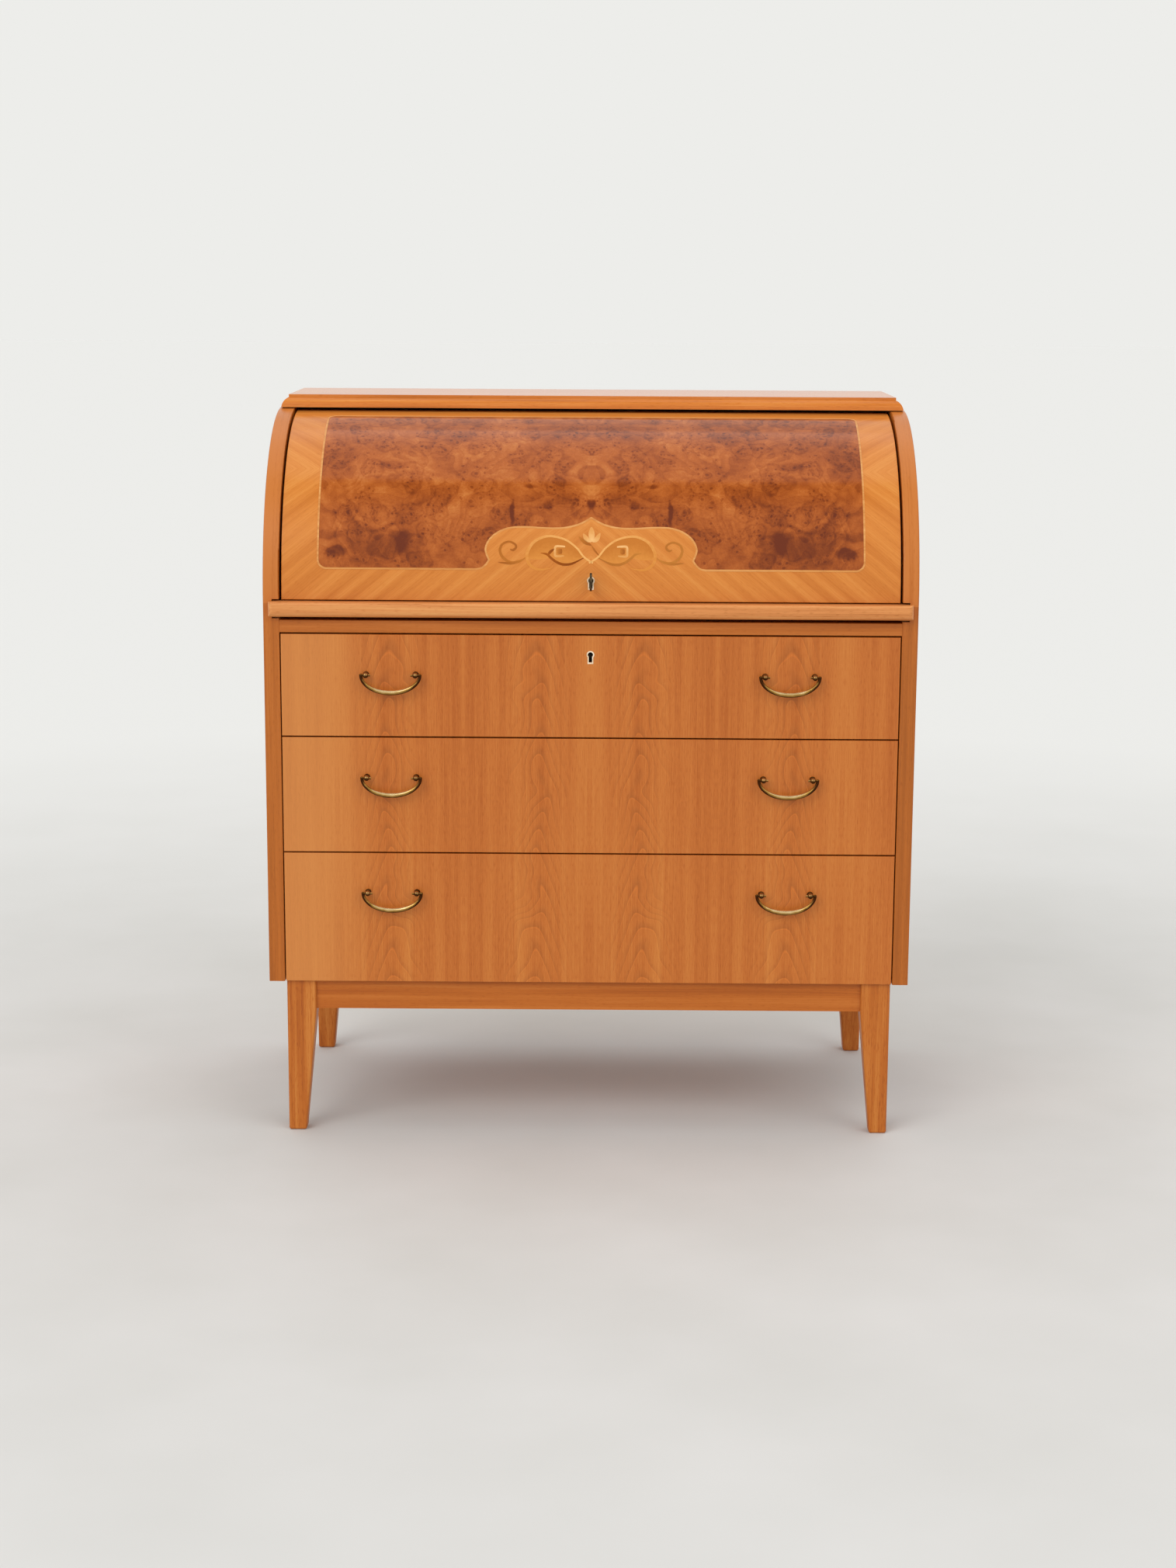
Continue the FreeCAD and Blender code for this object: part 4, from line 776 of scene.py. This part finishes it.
# Planed birch is pale and even, and all but matt.
BIRCH = ("#C79E6B", "#EBD0A2", "#DDBB88")
BIRCH_FACE = {"streak_mm": 10, "roughness": 0.55}
birch_endways = timber("planed_birch_box_wall", Y, BIRCH, **BIRCH_FACE)
birch_lengthways = timber("planed_birch_box_back", X, BIRCH, **BIRCH_FACE)
for number in (1, 2, 3):
    dress(birch_endways, f"drawer_{number}_sides")
    dress(birch_lengthways, f"drawer_{number}_back", f"drawer_{number}_bottom")
dress(DARKENED_STEEL, "drawer_1_lock_case", "drawer_1_bolt")

# The handles: cast brass bails on turned posts, browned with age. They carry a painted highlight on top
# and painted shade below, and darken towards their ends.
HANDLE_MM = 275.0
BAIL_BRIGHT_MM = 18.0
BAIL_END_MM = 40.0
TARNISH_MM = 9
TARNISH_SHARE = 0.4
RUBBED_LEAST = 0.3
PAINTED_TOP_HIGHLIGHT = 0.32
BRASS_STOPS = (0.15, 0.8, 0.45)
BROWNED = (0.2, 0.42)
BRIGHT = (0.8, 0.2)


def brass_worn_with_painted_light(name, colours, end_shade):
    """Brass with a painted highlight on faces that look up and painted shade on those that look down, and
    darker away from the middle of a handle.

    How light it is: patches of noise for rubbing, plus a share of the upward lean as painted light, less
    a shade towards the ends.
    """
    material, tree = new_material(name)
    place = add(tree, "TexCoord")
    position = add(tree, "SeparateXYZ", {0: place.outputs["Object"]})
    facing = add(tree, "SeparateXYZ", {0: place.outputs["Normal"]})
    patches = {"Vector": place.outputs["Object"], "Scale": 1000 / TARNISH_MM, "Detail": 3}
    wear_and_painted_light = {0: add(tree, "TexNoise", patches), 1: TARNISH_SHARE, 2: RUBBED_LEAST}
    wear_and_painted_light = add(tree, "Math", wear_and_painted_light, operation="MULTIPLY_ADD")
    # The upward lean paints a highlight on top and shade below.
    wear_and_painted_light = {0: facing.outputs["Z"], 1: PAINTED_TOP_HIGHLIGHT, 2: wear_and_painted_light}
    wear_and_painted_light = add(tree, "Math", wear_and_painted_light, operation="MULTIPLY_ADD")
    aside = add(tree, "Math", {0: position.outputs["X"]}, operation="ABSOLUTE")
    aside = add(tree, "Math", {0: aside, 1: HANDLE_MM / 1000}, operation="SUBTRACT")
    aside = add(tree, "Math", {0: aside}, operation="ABSOLUTE")
    ends = {"Value": aside, "From Min": BAIL_BRIGHT_MM / 1000, "From Max": BAIL_END_MM / 1000}
    ends = add(tree, "MapRange", {**ends, "To Min": 0.0, "To Max": end_shade})
    wear_and_painted_light = add(tree, "Math", {0: wear_and_painted_light, 1: ends}, operation="SUBTRACT")
    colour = add(tree, "ValToRGB", {"Fac": wear_and_painted_light}, stops=list(zip(BRASS_STOPS, colours)))
    gloss = {"Value": wear_and_painted_light, "From Min": BROWNED[0], "From Max": BRIGHT[0]}
    gloss = add(tree, "MapRange", {**gloss, "To Min": BROWNED[1], "To Max": BRIGHT[1]})
    worn = {"Base Color": colour, "Metallic": 1.0, "Roughness": gloss}
    add(tree, "OutputMaterial", {"Surface": add(tree, "BsdfPrincipled", worn)})
    return material


# The bail's upper side gets a painted highlight over the rubbed brass. The posts, out of the fingers'
# way, are nearly brown, under the same painted highlight on top.
bails = [f"bail_{number}_{hand}" for number in (1, 2, 3) for hand in ("left", "right")]
cast = brass_worn_with_painted_light("cast_brass_rubbed_painted_highlight", ("#442510", "#F6DCA8", "#AE8642"), end_shade=0.42)
dress(cast, *bails)
posts = [f"drawer_{number}_posts" for number in (1, 2, 3)]
turned = brass_worn_with_painted_light("turned_brass_browned", ("#261206", "#B88E58", "#523215"), end_shade=0.0)
dress(turned, *posts)

# The studio: a pale floor in matt paint that grows paler far off, white surroundings that light from
# all sides and look dimmer straight overhead, large soft lamps in front and above, the strongest on
# the left, and a viewpoint in front, a little above the desk.
FLOOR_HALF_M = 40.0
PALE_FROM_M = 0.8
PALE_TO_M = 3.2
DUST_PER_M = 3
FLOOR = ((0.3, "#CFCECA"), (0.7, "#D6D5D2"))
FAR_FLOOR = "#E1E1DE"
PAINT_ROUGHNESS = 0.7
painted, tree = new_material("painted_floor")
place = add(tree, "TexCoord").outputs["Object"]
dust = add(tree, "TexNoise", {"Vector": place, "Scale": DUST_PER_M, "Detail": 4})
away = add(tree, "VectorMath", {0: place}, operation="LENGTH").outputs["Value"]
away = add(tree, "MapRange", {"Value": away, "From Min": PALE_FROM_M, "From Max": PALE_TO_M})
paint = {0: away, 6: add(tree, "ValToRGB", {"Fac": dust}, stops=FLOOR), 7: linear(FAR_FLOOR)}
paint = add(tree, "Mix", paint, data_type="RGBA").outputs[2]
lacquer(tree, paint, dust, PAINT_ROUGHNESS, shine=0.0)
mesh = bpy.data.meshes.new("floor")
sides = (-FLOOR_HALF_M, FLOOR_HALF_M)
mesh.from_pydata([(x, y, 0.0) for y in sides for x in sides], [], [(0, 1, 3, 2)])
mesh.materials.append(painted)
floor = bpy.data.objects.new("floor", mesh)
bpy.context.scene.collection.objects.link(floor)

# Seen directly or in a gloss, the surroundings have the backdrop's colour. They light as plain white.
BACKDROP = "#EDEDEA"
OVERHEAD = "#6C6A66"
OVERHEAD_FROM = 0.80
OVERHEAD_FULL = 0.97
SURROUND_LIGHT = 0.72
world = bpy.data.worlds.new("white_studio")
world.use_nodes = True
tree = world.node_tree
tree.nodes.clear()
seen = add(tree, "LightPath")
direct = seen.outputs["Is Camera Ray"]
for way in ("Is Glossy Ray", "Is Transmission Ray"):
    direct = add(tree, "Math", {0: direct, 1: seen.outputs[way]}, operation="MAXIMUM")
light = add(tree, "Background", {"Color": linear("#FFFFFF"), "Strength": SURROUND_LIGHT})
height = add(tree, "SeparateXYZ", {0: add(tree, "TexCoord").outputs["Generated"]}).outputs["Z"]
overhead = {"Value": height, "From Min": OVERHEAD_FROM, "From Max": OVERHEAD_FULL}
shown = {0: add(tree, "MapRange", overhead), 6: linear(BACKDROP), 7: linear(OVERHEAD)}
shown = add(tree, "Mix", shown, data_type="RGBA").outputs[2]
backdrop = add(tree, "Background", {"Color": shown, "Strength": 1.0})
mixed = add(tree, "MixShader", {0: direct, 1: light, 2: backdrop})
add(tree, "OutputWorld", {"Surface": mixed})
bpy.context.scene.world = world

# Each lamp: its place in metres, its spread in degrees and its strength. All shine at the desk's middle.
LAMPS = (
    ("lamp_left", (-1.9, -2.6, 2.7), 40.0, 0.95),
    ("lamp_right", (2.2, -2.4, 2.3), 40.0, 0.45),
    ("lamp_above", (0.0, 0.5, 3.0), 50.0, 0.55),
)
LAMP_AIM = Vector((0.0, 0.0, 0.6))
for name, position, spread_deg, strength in LAMPS:
    lamp = bpy.data.lights.new(name, "SUN")
    lamp.angle = math.radians(spread_deg)
    lamp.energy = strength
    stand = bpy.data.objects.new(name, lamp)
    stand.location = position
    stand.rotation_euler = (LAMP_AIM - Vector(position)).to_track_quat("-Z", "Y").to_euler()
    bpy.context.scene.collection.objects.link(stand)

# The viewpoint is turned about the upright, tilted down, then rolled about its own line of sight.
CAMERA_AT_M = (0.0088, -3.8109, 1.2111)
YAW_DEG = -0.177
PITCH_DEG = 11.06
ROLL_DEG = -0.332
FOCAL_PIXELS = 3402.9
PICTURE_PIXELS = 2020
SENSOR_MM = 36.0
yaw, pitch, roll = (math.radians(turn) for turn in (YAW_DEG, PITCH_DEG, ROLL_DEG))
ahead = Vector((math.sin(yaw) * math.cos(pitch), math.cos(yaw) * math.cos(pitch), -math.sin(pitch)))
level = Vector((math.cos(yaw), -math.sin(yaw), 0.0))
under = ahead.cross(level)
right = level * math.cos(roll) + under * math.sin(roll)
down = under * math.cos(roll) - level * math.sin(roll)
camera = bpy.data.cameras.new("camera")
camera.sensor_width = SENSOR_MM
camera.lens = FOCAL_PIXELS / PICTURE_PIXELS * SENSOR_MM
viewer = bpy.data.objects.new("camera", camera)
turned_to = Matrix((right, -down, -ahead)).transposed().to_4x4()
viewer.matrix_world = Matrix.Translation(CAMERA_AT_M) @ turned_to
bpy.context.scene.collection.objects.link(viewer)
bpy.context.scene.camera = viewer
bpy.context.scene.view_settings.view_transform = "Standard"
